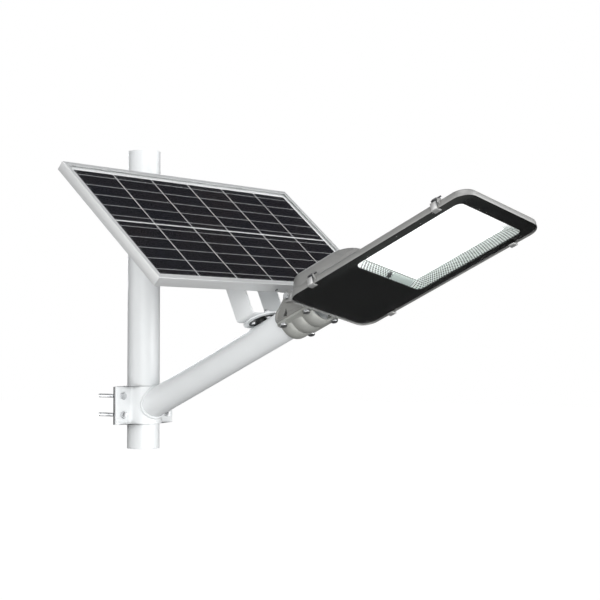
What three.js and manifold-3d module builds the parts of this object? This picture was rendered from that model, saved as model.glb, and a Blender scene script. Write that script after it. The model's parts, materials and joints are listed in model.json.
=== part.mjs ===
// Solar street lamp on a section of its pole.
// Millimetres, +Z up. The origin is on the pole's axis at the middle of the clamp.
// The arm rises towards +X, and +Y runs along the solar panel's long side.

import * as THREE from 'three';
import { mergeVertices } from 'three/addons/utils/BufferGeometryUtils.js';
import Module from 'manifold-3d';

const wasm = await Module();
wasm.setup();

// ---------------------------------------------------------------- driving dimensions

const GAP = 0.3;                 // clearance between pieces that touch
const CLEAR = 0.4;               // radial clearance of a bolt in its hole

const POLE_RADIUS = 34.5;
const POLE_WALL = 3;
const POLE_LOW = -93;
const POLE_HIGH = 544;

const CLAMP_HEIGHT = 80;
const CLAMP_WALL = 4.2;
const CLAMP_HALF_WIDTH = 84.5;
const WING_INNER = 0.8;          // half the gap between the two wings
const WING_OUTER = 4.3;
const CLAMP_FILLET = 7;
const CLAMP_BOLT_Y = 65;
const CLAMP_BOLT_Z = 20;
const CLAMP_BOLT_TAIL = -67;

const ARM_RISE = 24;             // degrees above level
const ARM_BASE_Z = -11.3;
const ARM_RADIUS = 30;
const ARM_WALL = 2.5;
const ARM_END = 521;

const BRACKET_T = 381;           // place of the panel bracket along the arm
const FLANGE_RADIUS = 38;
const FLANGE_LOW = 35;
const FLANGE_THICK = 3.5;
const SWIVEL_BOLT_RING = 18;
const SWIVEL_RANGE = 15;         // degrees each way
const YOKE_WIDTH = 46;
const YOKE_HALF_SPAN = 49.5;
const YOKE_PLATE = 3;
const TILT_PIVOT_N = 134;        // height of the tilt bolts above the arm's axis

const PANEL_X = 244;
const PANEL_Z = 359.5;
const PANEL_TILT = 41.6;         // degrees from level
const PANEL_LENGTH = 670;
const PANEL_WIDTH = 350;
const FRAME_TOP = 4.6;           // frame heights are measured from the face of the cells
const FRAME_LOW = -15.4;

const HEAD_ROLL = 13.3;          // degrees that the head is turned round the arm
const HEAD_T = 756;              // middle of the head along the arm
const FACE_Z = -26.5;            // face of the glass, below the arm's axis
const HEAD_LENGTH = 434;
const HEAD_WIDTH = 232;
const HEAD_CORNER = 30;
const GLASS_THICK = 3.6;
const WINDOW = { middle: 66, length: 241, width: 185, corner: 12 };
const LENS = { length: 193, width: 151, low: 14, thick: 3 };

const KNUCKLE_START = 445;
const KNUCKLE_END = 530;
const KNUCKLE_SPLIT = -14;       // height of the joint between the two castings
const SADDLE_BOLT_T = [461, 523];
const SADDLE_BOLT_V = 39.5;
const EAR_HALF_WIDTH = 46.5;
const HEAD_PIVOT = { t: 492, z: 24 };

const CLIP_U = [-148, 149];
const CLIP_PIN = { v: 119.6, z: 15.5 };
const CLIP_WIDTH = 13;

const ROUND = 40;                // segments round a large circle
const SMALL = 14;                // segments round a bolt

// ---------------------------------------------------------------- finishes

const FINISH = {
  whitePaint: { color: 0xe9eef0, roughness: 0.38, metalness: 0 },
  castGrey: { color: 0x9a9b96, roughness: 0.55, metalness: 0.35 },
  housingGrey: { color: 0xa3a4a0, roughness: 0.5, metalness: 0.3 },
  brightSteel: { color: 0xc9cccd, roughness: 0.28, metalness: 1 },
  darkSteel: { color: 0x55585a, roughness: 0.4, metalness: 1 },
  aluminium: { color: 0xc8cccb, roughness: 0.35, metalness: 0.9 },
  clearGlass: { color: 0xdfe8ea, roughness: 0.05, metalness: 0 },
  blackPrint: { color: 0x151614, roughness: 0.2, metalness: 0 },
  siliconCell: { color: 0x14171f, roughness: 0.3, metalness: 0.1 },
  whiteSheet: { color: 0xf2f3f2, roughness: 0.7, metalness: 0 },
  blackPlastic: { color: 0x1c1d1e, roughness: 0.55, metalness: 0 },
  rubber: { color: 0x2a2b2b, roughness: 0.85, metalness: 0 },
  mirror: { color: 0xe6eaea, roughness: 0.15, metalness: 0.9 },
  lens: { color: 0xfafcfc, roughness: 0.2, metalness: 0 },
  board: { color: 0xe8ebe6, roughness: 0.5, metalness: 0 },
  greenBoard: { color: 0x1f6b3c, roughness: 0.5, metalness: 0 },
  batteryWrap: { color: 0x2f6fb3, roughness: 0.4, metalness: 0 },
};

const radians = THREE.MathUtils.degToRad;

/** A named mesh with a material of its own. */
function part(name, geometry, finish) {
  const material = new THREE.MeshStandardMaterial(FINISH[finish]);
  const mesh = new THREE.Mesh(geometry, material);
  mesh.name = name;
  return mesh;
}

// ---------------------------------------------------------------- joining and cutting

function toSolid(geometry) {
  const bare = geometry.clone();
  bare.deleteAttribute('normal');
  bare.deleteAttribute('uv');
  const merged = mergeVertices(bare);
  return new wasm.Manifold(new wasm.Mesh({
    numProp: 3,
    vertProperties: Float32Array.from(merged.attributes.position.array),
    triVerts: Uint32Array.from(merged.index.array),
  }));
}

function toGeometry(solid) {
  const mesh = solid.getMesh();
  const geometry = new THREE.BufferGeometry();
  geometry.setAttribute('position', new THREE.BufferAttribute(mesh.vertProperties, 3));
  geometry.setIndex(new THREE.BufferAttribute(mesh.triVerts, 1));
  geometry.computeVertexNormals();
  return geometry;
}

/** One solid from several that touch or overlap. */
function join(...geometries) {
  const solids = geometries.map(toSolid);
  return toGeometry(solids.reduce((sum, solid) => sum.add(solid)));
}

/** The first solid less all the others. */
function cut(geometry, ...tools) {
  const solids = tools.map(toSolid);
  return toGeometry(solids.reduce((rest, tool) => rest.subtract(tool), toSolid(geometry)));
}

/** What two solids have in common. */
function common(first, second) {
  return toGeometry(toSolid(first).intersect(toSolid(second)));
}

// ---------------------------------------------------------------- basic shapes

const AXIS_TURN = {
  x: (geometry) => geometry.rotateZ(-Math.PI / 2),
  y: (geometry) => geometry,
  z: (geometry) => geometry.rotateX(Math.PI / 2),
};

/** A cylinder along an axis, from one coordinate to another. */
function rod(axis, radius, from, to, sides = SMALL) {
  const geometry = new THREE.CylinderGeometry(radius, radius, Math.abs(to - from), sides);
  const middle = (from + to) / 2;
  AXIS_TURN[axis](geometry);
  return geometry.translate(
    axis === 'x' ? middle : 0,
    axis === 'y' ? middle : 0,
    axis === 'z' ? middle : 0,
  );
}

/** A six-sided nut or bolt head, by the distance across its flats. */
function hexagon(axis, acrossFlats, from, to) {
  return rod(axis, acrossFlats / Math.sqrt(3), from, to, 6);
}

/** A box from its lowest corner to its highest. */
function box(low, high) {
  const geometry = new THREE.BoxGeometry(high[0] - low[0], high[1] - low[1], high[2] - low[2]);
  return geometry.translate(
    (low[0] + high[0]) / 2,
    (low[1] + high[1]) / 2,
    (low[2] + high[2]) / 2,
  );
}

/** An outline drawn in X and Y, made thick from one height to another. */
function slab(shape, from, to, curveSegments = 10) {
  const depth = to - from;
  const geometry = new THREE.ExtrudeGeometry(shape, { depth, bevelEnabled: false, curveSegments });
  return geometry.translate(0, 0, from);
}

/** An outline drawn in X and Z, made thick along Y. */
function wall(shape, from, to, curveSegments = 10) {
  const geometry = slab(shape, -to, -from, curveSegments);
  return geometry.rotateX(Math.PI / 2);
}

/** An outline drawn in Y and Z, made thick along X. */
function bar(shape, from, to, curveSegments = 10) {
  const geometry = slab(shape, from, to, curveSegments);
  return geometry.rotateX(Math.PI / 2).rotateZ(Math.PI / 2);
}

/** A pipe along Z. */
function pipe(outer, inner, from, to, sides = ROUND) {
  const shape = new THREE.Shape().absarc(0, 0, outer, 0, 2 * Math.PI);
  shape.holes.push(new THREE.Path().absarc(0, 0, inner, 0, 2 * Math.PI, true));
  return slab(shape, from, to, sides / 2);
}

/** A shape through points given as pairs. */
function outline(points) {
  return new THREE.Shape(points.map(([x, y]) => new THREE.Vector2(x, y)));
}

/** The corner points of a rectangle with round corners, counter-clockwise. */
function roundedPoints(lowX, highX, lowY, highY, radius, steps = 5) {
  const corners = [
    [highX - radius, highY - radius, 0],
    [lowX + radius, highY - radius, 90],
    [lowX + radius, lowY + radius, 180],
    [highX - radius, lowY + radius, 270],
  ];
  return corners.flatMap(([x, y, start]) => Array.from({ length: steps + 1 }, (_, i) => {
    const angle = radians(start + (90 * i) / steps);
    return [x + radius * Math.cos(angle), y + radius * Math.sin(angle)];
  }));
}

function roundedShape(length, width, radius, middle = 0) {
  const half = length / 2;
  return outline(roundedPoints(middle - half, middle + half, -width / 2, width / 2, radius));
}

/** A solid skinned over rounded rectangles at rising heights. */
function loft(sections) {
  const rings = sections.map((s) => roundedPoints(s.low, s.high, -s.half, s.half, s.corner));
  const count = rings[0].length;
  const positions = rings.flatMap((ring, i) => ring.flatMap(([x, y]) => [x, y, sections[i].z]));
  const index = [];
  for (let level = 0; level + 1 < rings.length; level += 1) {
    for (let i = 0; i < count; i += 1) {
      const a = level * count + i;
      const b = level * count + (i + 1) % count;
      index.push(a, b, b + count, a, b + count, a + count);
    }
  }
  const top = (rings.length - 1) * count;
  for (let i = 1; i + 1 < count; i += 1) {
    index.push(0, i + 1, i);
    index.push(top, top + i, top + i + 1);
  }
  const geometry = new THREE.BufferGeometry();
  geometry.setAttribute('position', new THREE.Float32BufferAttribute(positions, 3));
  geometry.setIndex(index);
  geometry.computeVertexNormals();
  return geometry;
}

// ---------------------------------------------------------------- pole and clamp

function makePole() {
  const tube = pipe(POLE_RADIUS, POLE_RADIUS - POLE_WALL, POLE_LOW, POLE_HIGH, 48);
  return part('pole_section', tube, 'whitePaint');
}

/** Half of the clamp in plan: a half shell with a flat wing on each side. */
function clampOutline() {
  const inner = POLE_RADIUS + GAP;
  const outer = inner + CLAMP_WALL;
  const filletX = WING_OUTER + CLAMP_FILLET;
  const reach = outer + CLAMP_FILLET;
  const filletY = Math.sqrt(reach ** 2 - filletX ** 2);
  const meet = Math.atan2(filletY, filletX);
  const mouth = Math.acos(WING_INNER / inner);
  const shape = new THREE.Shape();
  shape.moveTo(WING_INNER, -CLAMP_HALF_WIDTH);
  shape.lineTo(WING_OUTER, -CLAMP_HALF_WIDTH);
  shape.lineTo(WING_OUTER, -filletY);
  shape.absarc(filletX, -filletY, CLAMP_FILLET, Math.PI, Math.PI - meet, true);
  shape.absarc(0, 0, outer, -meet, meet, false);
  shape.absarc(filletX, filletY, CLAMP_FILLET, Math.PI + meet, Math.PI, true);
  shape.lineTo(WING_OUTER, CLAMP_HALF_WIDTH);
  shape.lineTo(WING_INNER, CLAMP_HALF_WIDTH);
  shape.absarc(0, 0, inner, mouth, -mouth, true);
  return shape;
}

function clampBoltPlaces() {
  return [-1, 1].flatMap((side) => [1, -1].map((level) => ({
    y: side * CLAMP_BOLT_Y,
    z: level * CLAMP_BOLT_Z,
    name: `${side < 0 ? 'left' : 'right'}_${level > 0 ? 'upper' : 'lower'}`,
  })));
}

function makeClampHalf(name, turn) {
  const half = slab(clampOutline(), -CLAMP_HEIGHT / 2, CLAMP_HEIGHT / 2, 12);
  const holes = clampBoltPlaces().map(({ y, z }) => rod('x', 4 + CLEAR, -1, 9).translate(0, y, z));
  return part(name, cut(half, ...holes).rotateZ(turn), 'whitePaint');
}

function makeClampBolt({ y, z, name }) {
  const head = hexagon('x', 13, WING_OUTER + GAP, WING_OUTER + GAP + 5.3);
  const shank = rod('x', 4, CLAMP_BOLT_TAIL, WING_OUTER + 3);
  return part(`clamp_bolt_${name}`, join(head, shank).translate(0, y, z), 'brightSteel');
}

function makeClampNut({ y, z, name }) {
  const nut = hexagon('x', 13, -WING_OUTER - GAP - 6.5, -WING_OUTER - GAP);
  const bore = rod('x', 4 + GAP, -20, 0);
  return part(`clamp_nut_${name}`, cut(nut, bore).translate(0, y, z), 'brightSteel');
}

// ---------------------------------------------------------------- arm and panel bracket

function makeArmTube() {
  const tube = pipe(ARM_RADIUS, ARM_RADIUS - ARM_WALL, 8, ARM_END, 48).rotateY(Math.PI / 2);
  const clampRadius = POLE_RADIUS + GAP + CLAMP_WALL + GAP;
  const clamp = rod('z', clampRadius, -200, 200, 96).rotateY(radians(ARM_RISE));
  return part('arm_tube', cut(tube, clamp), 'whitePaint');
}

/** A slot that follows an arc about the origin, cut through the flange. */
function arcSlot(angle) {
  const half = radians(SWIVEL_RANGE + 2);
  const inner = SWIVEL_BOLT_RING - 3 - CLEAR;
  const outer = SWIVEL_BOLT_RING + 3 + CLEAR;
  const endRadius = 3 + CLEAR;
  const from = angle - half;
  const to = angle + half;
  const end = (at) => [SWIVEL_BOLT_RING * Math.cos(at), SWIVEL_BOLT_RING * Math.sin(at)];
  const shape = new THREE.Shape();
  shape.absarc(0, 0, outer, from, to, false);
  shape.absarc(...end(to), endRadius, to, to + Math.PI, false);
  shape.absarc(0, 0, inner, to, from, true);
  shape.absarc(...end(from), endRadius, from + Math.PI, from + 2 * Math.PI, false);
  return slab(shape, FLANGE_LOW - 1, FLANGE_LOW + FLANGE_THICK + 1, 5);
}

const SWIVEL_ANGLES = [0, 1, 2].map((i) => (i * 2 * Math.PI) / 3);

function makePedestal() {
  const disc = rod('z', FLANGE_RADIUS, FLANGE_LOW, FLANGE_LOW + FLANGE_THICK, ROUND);
  const slotted = cut(disc, ...SWIVEL_ANGLES.map(arcSlot));
  const post = rod('z', 10.5, 20, FLANGE_LOW + 1, 20);
  const seated = cut(post, rod('x', ARM_RADIUS + GAP, -60, 60, 48));
  const spigot = rod('z', 6, FLANGE_LOW + 1, FLANGE_LOW + FLANGE_THICK + 5);
  return part('bracket_pedestal', join(slotted, seated, spigot), 'whitePaint');
}

/** The bracket bent from one plate: a base between two legs, seen along the arm. */
function yokeSection() {
  const low = FLANGE_LOW + FLANGE_THICK + GAP;
  const inner = YOKE_HALF_SPAN - YOKE_PLATE;
  const shape = new THREE.Shape();
  shape.moveTo(-YOKE_HALF_SPAN, 200);
  shape.lineTo(-YOKE_HALF_SPAN, low + 6);
  shape.absarc(-YOKE_HALF_SPAN + 6, low + 6, 6, Math.PI, 1.5 * Math.PI, false);
  shape.absarc(YOKE_HALF_SPAN - 6, low + 6, 6, 1.5 * Math.PI, 2 * Math.PI, false);
  shape.lineTo(YOKE_HALF_SPAN, 200);
  shape.lineTo(inner, 200);
  shape.absarc(inner - 3, low + 6, 3, 0, -Math.PI / 2, true);
  shape.absarc(-inner + 3, low + 6, 3, 1.5 * Math.PI, Math.PI, true);
  shape.lineTo(-inner, 200);
  return shape;
}

function makeYoke() {
  const bent = bar(yokeSection(), -YOKE_WIDTH / 2, YOKE_WIDTH / 2, 4);
  const side = new THREE.Shape();
  side.moveTo(-YOKE_WIDTH / 2, 0);
  side.lineTo(YOKE_WIDTH / 2, 0);
  side.absarc(0, TILT_PIVOT_N, YOKE_WIDTH / 2, 0, Math.PI, false);
  const trimmed = common(bent, wall(side, -90, 90, 12));
  const pivot = rod('y', 4 + CLEAR, -90, 90).translate(0, 0, TILT_PIVOT_N);
  const centre = rod('z', 6 + GAP, 30, 50);
  const holes = swivelBoltPlaces().map(([t, y]) => rod('z', 3 + CLEAR, 30, 50).translate(t, y, 0));
  return part('panel_yoke', cut(trimmed, pivot, centre, ...holes), 'whitePaint');
}

function swivelBoltPlaces() {
  return SWIVEL_ANGLES.map((angle) => [
    SWIVEL_BOLT_RING * Math.cos(angle),
    SWIVEL_BOLT_RING * Math.sin(angle),
  ]);
}

/** A swivel bolt with its head under the flange and its nut on the bracket. */
function makeSwivelBolt([t, y], number) {
  const baseTop = FLANGE_LOW + FLANGE_THICK + GAP + YOKE_PLATE;
  const head = hexagon('z', 10, FLANGE_LOW - GAP - 3.9, FLANGE_LOW - GAP);
  const shank = rod('z', 3, FLANGE_LOW - 2, baseTop + 9);
  const nut = hexagon('z', 10, baseTop + GAP, baseTop + GAP + 5);
  const bolt = join(head, shank, nut).translate(t, y, 0);
  return part(`swivel_bolt_${number + 1}`, bolt, 'brightSteel');
}

function makeTiltBolt(side) {
  const lugInner = YOKE_HALF_SPAN - YOKE_PLATE - GAP - 3;
  const head = hexagon('y', 13, YOKE_HALF_SPAN + GAP, YOKE_HALF_SPAN + GAP + 5.3);
  const shank = rod('y', 4, lugInner - 9, YOKE_HALF_SPAN + 3);
  const nut = hexagon('y', 13, lugInner - GAP - 6.5, lugInner - GAP);
  const bolt = join(head, shank, nut).translate(0, 0, TILT_PIVOT_N);
  const name = side < 0 ? 'left' : 'right';
  const turned = side < 0 ? bolt.rotateZ(Math.PI) : bolt;
  return part(`tilt_bolt_${name}`, turned, 'brightSteel');
}

// ---------------------------------------------------------------- solar panel

/** Section of the frame: distance in from the outer face, and height. */
const FRAME_SECTION = [
  [0, FRAME_LOW], [16, FRAME_LOW], [16, FRAME_LOW + 1.6], [1.6, FRAME_LOW + 1.6],
  [1.6, -2.6], [9, -2.6], [9, -1.4], [1.6, -1.4],
  [1.6, FRAME_TOP - 1.2], [10.5, FRAME_TOP - 1.2], [10.5, FRAME_TOP], [0, FRAME_TOP],
];

/** One side of the frame along X, its ends cut to meet the next sides at 45 degrees. */
function frameSide(length) {
  const geometry = slab(outline(FRAME_SECTION), 0, 1);
  const position = geometry.attributes.position;
  for (let i = 0; i < position.count; i += 1) {
    const inward = position.getX(i);
    const height = position.getY(i);
    const end = position.getZ(i) > 0.5 ? 1 : -1;
    position.setXYZ(i, end * (length / 2 - inward - GAP / 2), inward, height);
  }
  geometry.computeVertexNormals();
  return geometry;
}

function makeFrameSides() {
  const long = frameSide(PANEL_LENGTH);
  const short = frameSide(PANEL_WIDTH);
  const lower = long.clone().rotateZ(Math.PI / 2).translate(PANEL_WIDTH / 2, 0, 0);
  const drain = rod('x', 1.8, 160, 180, 10).translate(0, 4, FRAME_LOW + 5.5);
  return [
    part('panel_frame_lower', cut(lower, drain), 'aluminium'),
    part('panel_frame_upper', long.clone().rotateZ(-Math.PI / 2).translate(-PANEL_WIDTH / 2, 0, 0), 'aluminium'),
    part('panel_frame_left', short.clone().translate(0, -PANEL_LENGTH / 2, 0), 'aluminium'),
    part('panel_frame_right', short.clone().rotateZ(Math.PI).translate(0, PANEL_LENGTH / 2, 0), 'aluminium'),
  ];
}

function sheet(trim, low, high) {
  const halfX = PANEL_WIDTH / 2 - trim;
  const halfY = PANEL_LENGTH / 2 - trim;
  return box([-halfX, -halfY, low], [halfX, halfY, high]);
}

function makeLaminate() {
  return [
    part('panel_glass', sheet(2.2, 0.3, 3.1), 'clearGlass'),
    part('cell_sheet', sheet(2.6, -0.5, 0), 'siliconCell'),
    part('panel_backsheet', sheet(2.2, -1.1, -0.8), 'whiteSheet'),
  ];
}

/** The tilt axis in the panel's own frame: down the slope, and behind the cells. */
function pivotInPanel() {
  const rise = radians(ARM_RISE);
  const x = BRACKET_T * Math.cos(rise) - TILT_PIVOT_N * Math.sin(rise) - PANEL_X;
  const z = ARM_BASE_Z + BRACKET_T * Math.sin(rise) + TILT_PIVOT_N * Math.cos(rise) - PANEL_Z;
  const tilt = radians(PANEL_TILT);
  return {
    x: x * Math.cos(tilt) - z * Math.sin(tilt),
    z: x * Math.sin(tilt) + z * Math.cos(tilt),
  };
}

/** A rail across the back of the frame, with a lug that hangs on the tilt bolt. */
function makeRail(side) {
  const outer = YOKE_HALF_SPAN - YOKE_PLATE - GAP;
  const top = FRAME_LOW - GAP;
  const half = PANEL_WIDTH / 2 - 3;
  const pivot = pivotInPanel();
  const flat = box([-half, outer - 22, top - 2.5], [half, outer, top]);
  const lug = new THREE.Shape();
  lug.moveTo(pivot.x + 34, top);
  lug.lineTo(pivot.x - 34, top);
  lug.absarc(pivot.x, pivot.z, 14, Math.PI + 0.45, 2 * Math.PI - 0.45, false);
  const web = wall(lug, outer - 3, outer, 8);
  const hole = rod('y', 4 + CLEAR, 0, 90).translate(pivot.x, 0, pivot.z);
  const rail = cut(join(flat, web), hole);
  const name = side < 0 ? 'left' : 'right';
  const sided = side < 0 ? mirrorY(rail) : rail;
  return part(`panel_rail_${name}`, sided, 'aluminium');
}

/** The mirror image across the plane Y = 0, with its faces still pointing out. */
function mirrorY(geometry) {
  return toGeometry(toSolid(geometry).mirror([0, 1, 0]));
}

const JUNCTION = { x: -100, length: 70, width: 44, deep: 17 };

function makeJunctionBox() {
  const { x, length, width, deep } = JUNCTION;
  const low = -1.4 - deep;
  const outer = slab(roundedShape(length, width, 5, x), low, -1.4);
  const hollow = slab(roundedShape(length - 5, width - 5, 3, x), low - 1, -4);
  const bore = rod('x', 5.3, x, x + 60).translate(0, 0, low + 8.5);
  const lid = slab(roundedShape(length, width, 5, x), low - GAP - 2.6, low - GAP);
  const plug = slab(roundedShape(length - 6, width - 6, 3, x), low - GAP - 1, low + 2);
  const start = x + length / 2;
  const nut = hexagon('x', 14, start + GAP, start + 6);
  const dome = rod('x', 6.2, start + 5, start + 14, 16);
  const neck = rod('x', 5, start - 6, start + 4);
  const gland = join(nut, dome, neck).translate(0, 0, low + 8.5);
  return [
    part('junction_box', cut(outer, hollow, bore), 'blackPlastic'),
    part('junction_box_lid', join(lid, plug), 'blackPlastic'),
    part('junction_box_gland', gland, 'blackPlastic'),
  ];
}

// ---------------------------------------------------------------- knuckle

/** A half channel over the arm: round above, straight down to the joint. */
function channelShape(radius) {
  const shape = new THREE.Shape();
  shape.moveTo(-radius, KNUCKLE_SPLIT);
  shape.lineTo(radius, KNUCKLE_SPLIT);
  shape.absarc(0, 0, radius, 0, Math.PI, false);
  return shape;
}

/** Side view of a cheek: a round rear lobe that climbs to the pivot boss. */
function cheekShape() {
  const { t, z } = HEAD_PIVOT;
  const shape = new THREE.Shape();
  shape.moveTo(KNUCKLE_END, KNUCKLE_SPLIT);
  shape.lineTo(KNUCKLE_END, z - 16);
  shape.absarc(t, z, 13, radians(-12), radians(130), false);
  shape.absarc(KNUCKLE_START + 21, -5, 20, radians(110), radians(200), false);
  shape.lineTo(KNUCKLE_START + 4, KNUCKLE_SPLIT);
  return shape;
}

/** A crescent groove just inside the lobe, sunk into the outer face of a cheek. */
function crescentShape() {
  const shape = new THREE.Shape();
  const middle = [KNUCKLE_START + 22, -5];
  shape.absarc(...middle, 17, radians(95), radians(195), false);
  shape.absarc(middle[0] + 1.6, middle[1] - 0.6, 14.4, radians(195), radians(95), true);
  return shape;
}

function earShape() {
  const middle = (KNUCKLE_START + KNUCKLE_END) / 2 + 2;
  return roundedShape(KNUCKLE_END - KNUCKLE_START + 2, 2 * EAR_HALF_WIDTH, 9, middle);
}

function saddleBoltHoles() {
  return saddleBoltPlaces().map(({ t, v }) => rod('z', 4 + GAP, -60, 4).translate(t, v, 0));
}

function saddleBoltPlaces() {
  return [-1, 1].flatMap((side) => SADDLE_BOLT_T.map((t, i) => ({
    t,
    v: side * SADDLE_BOLT_V,
    name: `${side < 0 ? 'left' : 'right'}_${i ? 'front' : 'rear'}`,
  })));
}

function makeKnuckleUpper() {
  const shell = bar(channelShape(37), KNUCKLE_START + 6, KNUCKLE_END, 10);
  const cheek = wall(cheekShape(), 34, 45, 8);
  const pocket = wall(outline([[469, -8], [478, 4], [478.5, -12]]), 43, 60);
  const groove = wall(crescentShape(), 43.2, 60, 8);
  const carved = cut(cheek, pocket, groove);
  const ears = slab(earShape(), KNUCKLE_SPLIT, KNUCKLE_SPLIT + 6);
  const body = join(shell, carved, mirrorY(carved), ears);
  const channel = bar(channelShape(ARM_RADIUS + GAP), KNUCKLE_START - 20, KNUCKLE_END + 20, 12);
  const below = box([300, -90, -90], [700, 90, KNUCKLE_SPLIT]);
  const pivot = rod('y', 4 + GAP, -90, 90).translate(HEAD_PIVOT.t, 0, HEAD_PIVOT.z);
  return part('knuckle_upper', cut(body, channel, below, pivot, ...saddleBoltHoles()), 'castGrey');
}

/** The lower casting: a trough whose outside swells into three round ribs. */
function makeSaddle() {
  const count = 24;
  const length = KNUCKLE_END - KNUCKLE_START;
  const outer = Array.from({ length: count + 1 }, (_, i) => {
    const share = i / count;
    const swell = Math.abs(Math.sin(share * 3 * Math.PI)) ** 0.7;
    return new THREE.Vector2(34.3 + 4.2 * swell, share * length);
  });
  const inner = ARM_RADIUS + GAP;
  const profile = [new THREE.Vector2(inner, 0), ...outer, new THREE.Vector2(inner, length)];
  profile.push(profile[0].clone());
  const ring = new THREE.LatheGeometry(profile, 32);
  const along = ring.rotateZ(-Math.PI / 2).translate(KNUCKLE_START, 0, 0);
  const top = KNUCKLE_SPLIT - GAP;
  const ears = slab(earShape(), top - 4.8, top);
  const inside = rod('x', inner, KNUCKLE_START - 20, KNUCKLE_END + 20, 32);
  const above = box([300, -90, top], [700, 90, 90]);
  const seats = saddleBoltPlaces().map(({ t, v }) => rod('z', 8, -60, top - 4.8).translate(t, v, 0));
  const body = cut(join(along, cut(ears, inside)), above, ...seats, ...saddleBoltHoles());
  return part('knuckle_saddle', body, 'castGrey');
}

function makeSaddleBolt({ t, v, name }) {
  const under = KNUCKLE_SPLIT - 2 * GAP - 4.8;
  const head = hexagon('z', 13, under - 5.3, under);
  const shank = rod('z', 4, under - 3, 2);
  return part(`saddle_bolt_${name}`, join(head, shank).translate(t, v, 0), 'brightSteel');
}

function makeHeadPivotBolt(side) {
  const head = hexagon('y', 13, 51, 56);
  const shank = rod('y', 4, 36, 54);
  const bolt = join(head, shank).translate(HEAD_PIVOT.t, 0, HEAD_PIVOT.z);
  const name = side < 0 ? 'left' : 'right';
  const turned = side < 0 ? mirrorY(bolt) : bolt;
  return part(`head_pivot_bolt_${name}`, turned, 'brightSteel');
}

// ---------------------------------------------------------------- lamp head
// Heights in the head are measured from the face of its glass, up into the housing.

const HALF_LENGTH = HEAD_LENGTH / 2;
const HALF_WIDTH = HEAD_WIDTH / 2;

/** A rounded rectangle of the housing, drawn in by the same amount on every side. */
function level(z, inset, corner = HEAD_CORNER - inset) {
  return { z, low: inset - HALF_LENGTH, high: HALF_LENGTH - inset, half: HALF_WIDTH - inset, corner };
}

function housingOutside() {
  const plate = loft([level(0, 0), level(10.5, 0.5), level(13, 2.5), level(14.3, 6)]);
  const driverBox = loft([
    { z: 5, low: -214.5, high: -18, half: 115.2, corner: 38 },
    { z: 16, low: -214.5, high: -26, half: 115.2, corner: 40 },
    { z: 22, low: -214.4, high: -37, half: 115, corner: 42 },
    { z: 33, low: -214, high: -46, half: 114.6, corner: 42 },
    { z: 39, low: -211, high: -52, half: 111, corner: 39 },
    { z: 41.5, low: -205, high: -60, half: 105, corner: 33 },
  ]);
  const ledChamber = loft([
    { z: 10, low: -60, high: 196, half: 98, corner: 22 },
    { z: 19, low: -60, high: 192, half: 95, corner: 20 },
    { z: 22.4, low: -60, high: 187, half: 90, corner: 16 },
  ]);
  const fins = [-72, -48, -24, 0, 24, 48, 72].map((v) => loft([
    { z: 20, low: -52, high: 184, half: 2, corner: 1.9 },
    { z: 28, low: -52, high: 176, half: 1.3, corner: 1.2 },
  ]).translate(0, v, 0));
  return join(plate, driverBox, ledChamber, ...fins);
}

function housingInside() {
  const recess = slab(roundedShape(HEAD_LENGTH - 3.4, HEAD_WIDTH - 3.4, HEAD_CORNER - 1.7), -1, 6.6);
  const shallow = slab(roundedShape(408, 208, 22), 6, 11.8);
  const deepBox = loft([
    { z: 6, low: -207, high: -68, half: 108, corner: 33 },
    { z: 38, low: -205, high: -68, half: 104, corner: 33 },
  ]);
  const chamber = slab(roundedShape(212, 170, 10, WINDOW.middle), 6, 19.4);
  return [recess, shallow, deepBox, chamber];
}

/** Lug from the rear wall of the head back to the pivot, one on each side. */
function housingLug() {
  const t = HEAD_PIVOT.t - HEAD_T;
  const z = HEAD_PIVOT.z - FACE_Z;
  const shape = new THREE.Shape();
  shape.moveTo(-HALF_LENGTH + 3, z - 28);
  shape.lineTo(-HALF_LENGTH + 3, z - 16.5);
  shape.absarc(t, z, 12, radians(60), radians(240), false);
  return wall(shape, 45.4, 50.7, 8);
}

/** Block beside each clip that holds the clip's screw. */
function clipBoss(u, side) {
  const near = u + CLIP_WIDTH / 2 + GAP;
  const block = box([near, 112, 3], [near + 5, CLIP_PIN.v, CLIP_PIN.z + 3.6]);
  const nose = rod('x', 3.6, near, near + 5).translate(0, CLIP_PIN.v, CLIP_PIN.z);
  const boss = join(block, nose);
  return side < 0 ? mirrorY(boss) : boss;
}

function clipPlaces() {
  return CLIP_U.flatMap((u, i) => [-1, 1].map((side) => ({
    u,
    side,
    name: `${i ? 'front' : 'rear'}_${side < 0 ? 'left' : 'right'}`,
  })));
}

function makeHousing() {
  const bosses = clipPlaces().map(({ u, side }) => clipBoss(u, side));
  const lug = housingLug();
  const t = HEAD_PIVOT.t - HEAD_T;
  const z = HEAD_PIVOT.z - FACE_Z;
  const pivot = rod('y', 4 + CLEAR, -90, 90).translate(t, 0, z);
  const screws = clipPlaces().map(({ u, side }) => rod('x', 1.9, u, u + 30, 10)
    .translate(0, side * CLIP_PIN.v, CLIP_PIN.z));
  const glandHole = rod('x', 6.3, -HALF_LENGTH - 5, -HALF_LENGTH + 15).translate(0, 78, 18);
  const body = join(housingOutside(), ...bosses, lug, mirrorY(lug));
  const hollow = cut(body, ...housingInside(), pivot, ...screws, glandHole);
  return part('lamp_housing', hollow, 'housingGrey');
}

function ring(outerShape, innerPoints, low, high) {
  outerShape.holes.push(new THREE.Path(innerPoints.map(([x, y]) => new THREE.Vector2(x, y)).reverse()));
  return slab(outerShape, low, high);
}

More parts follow.
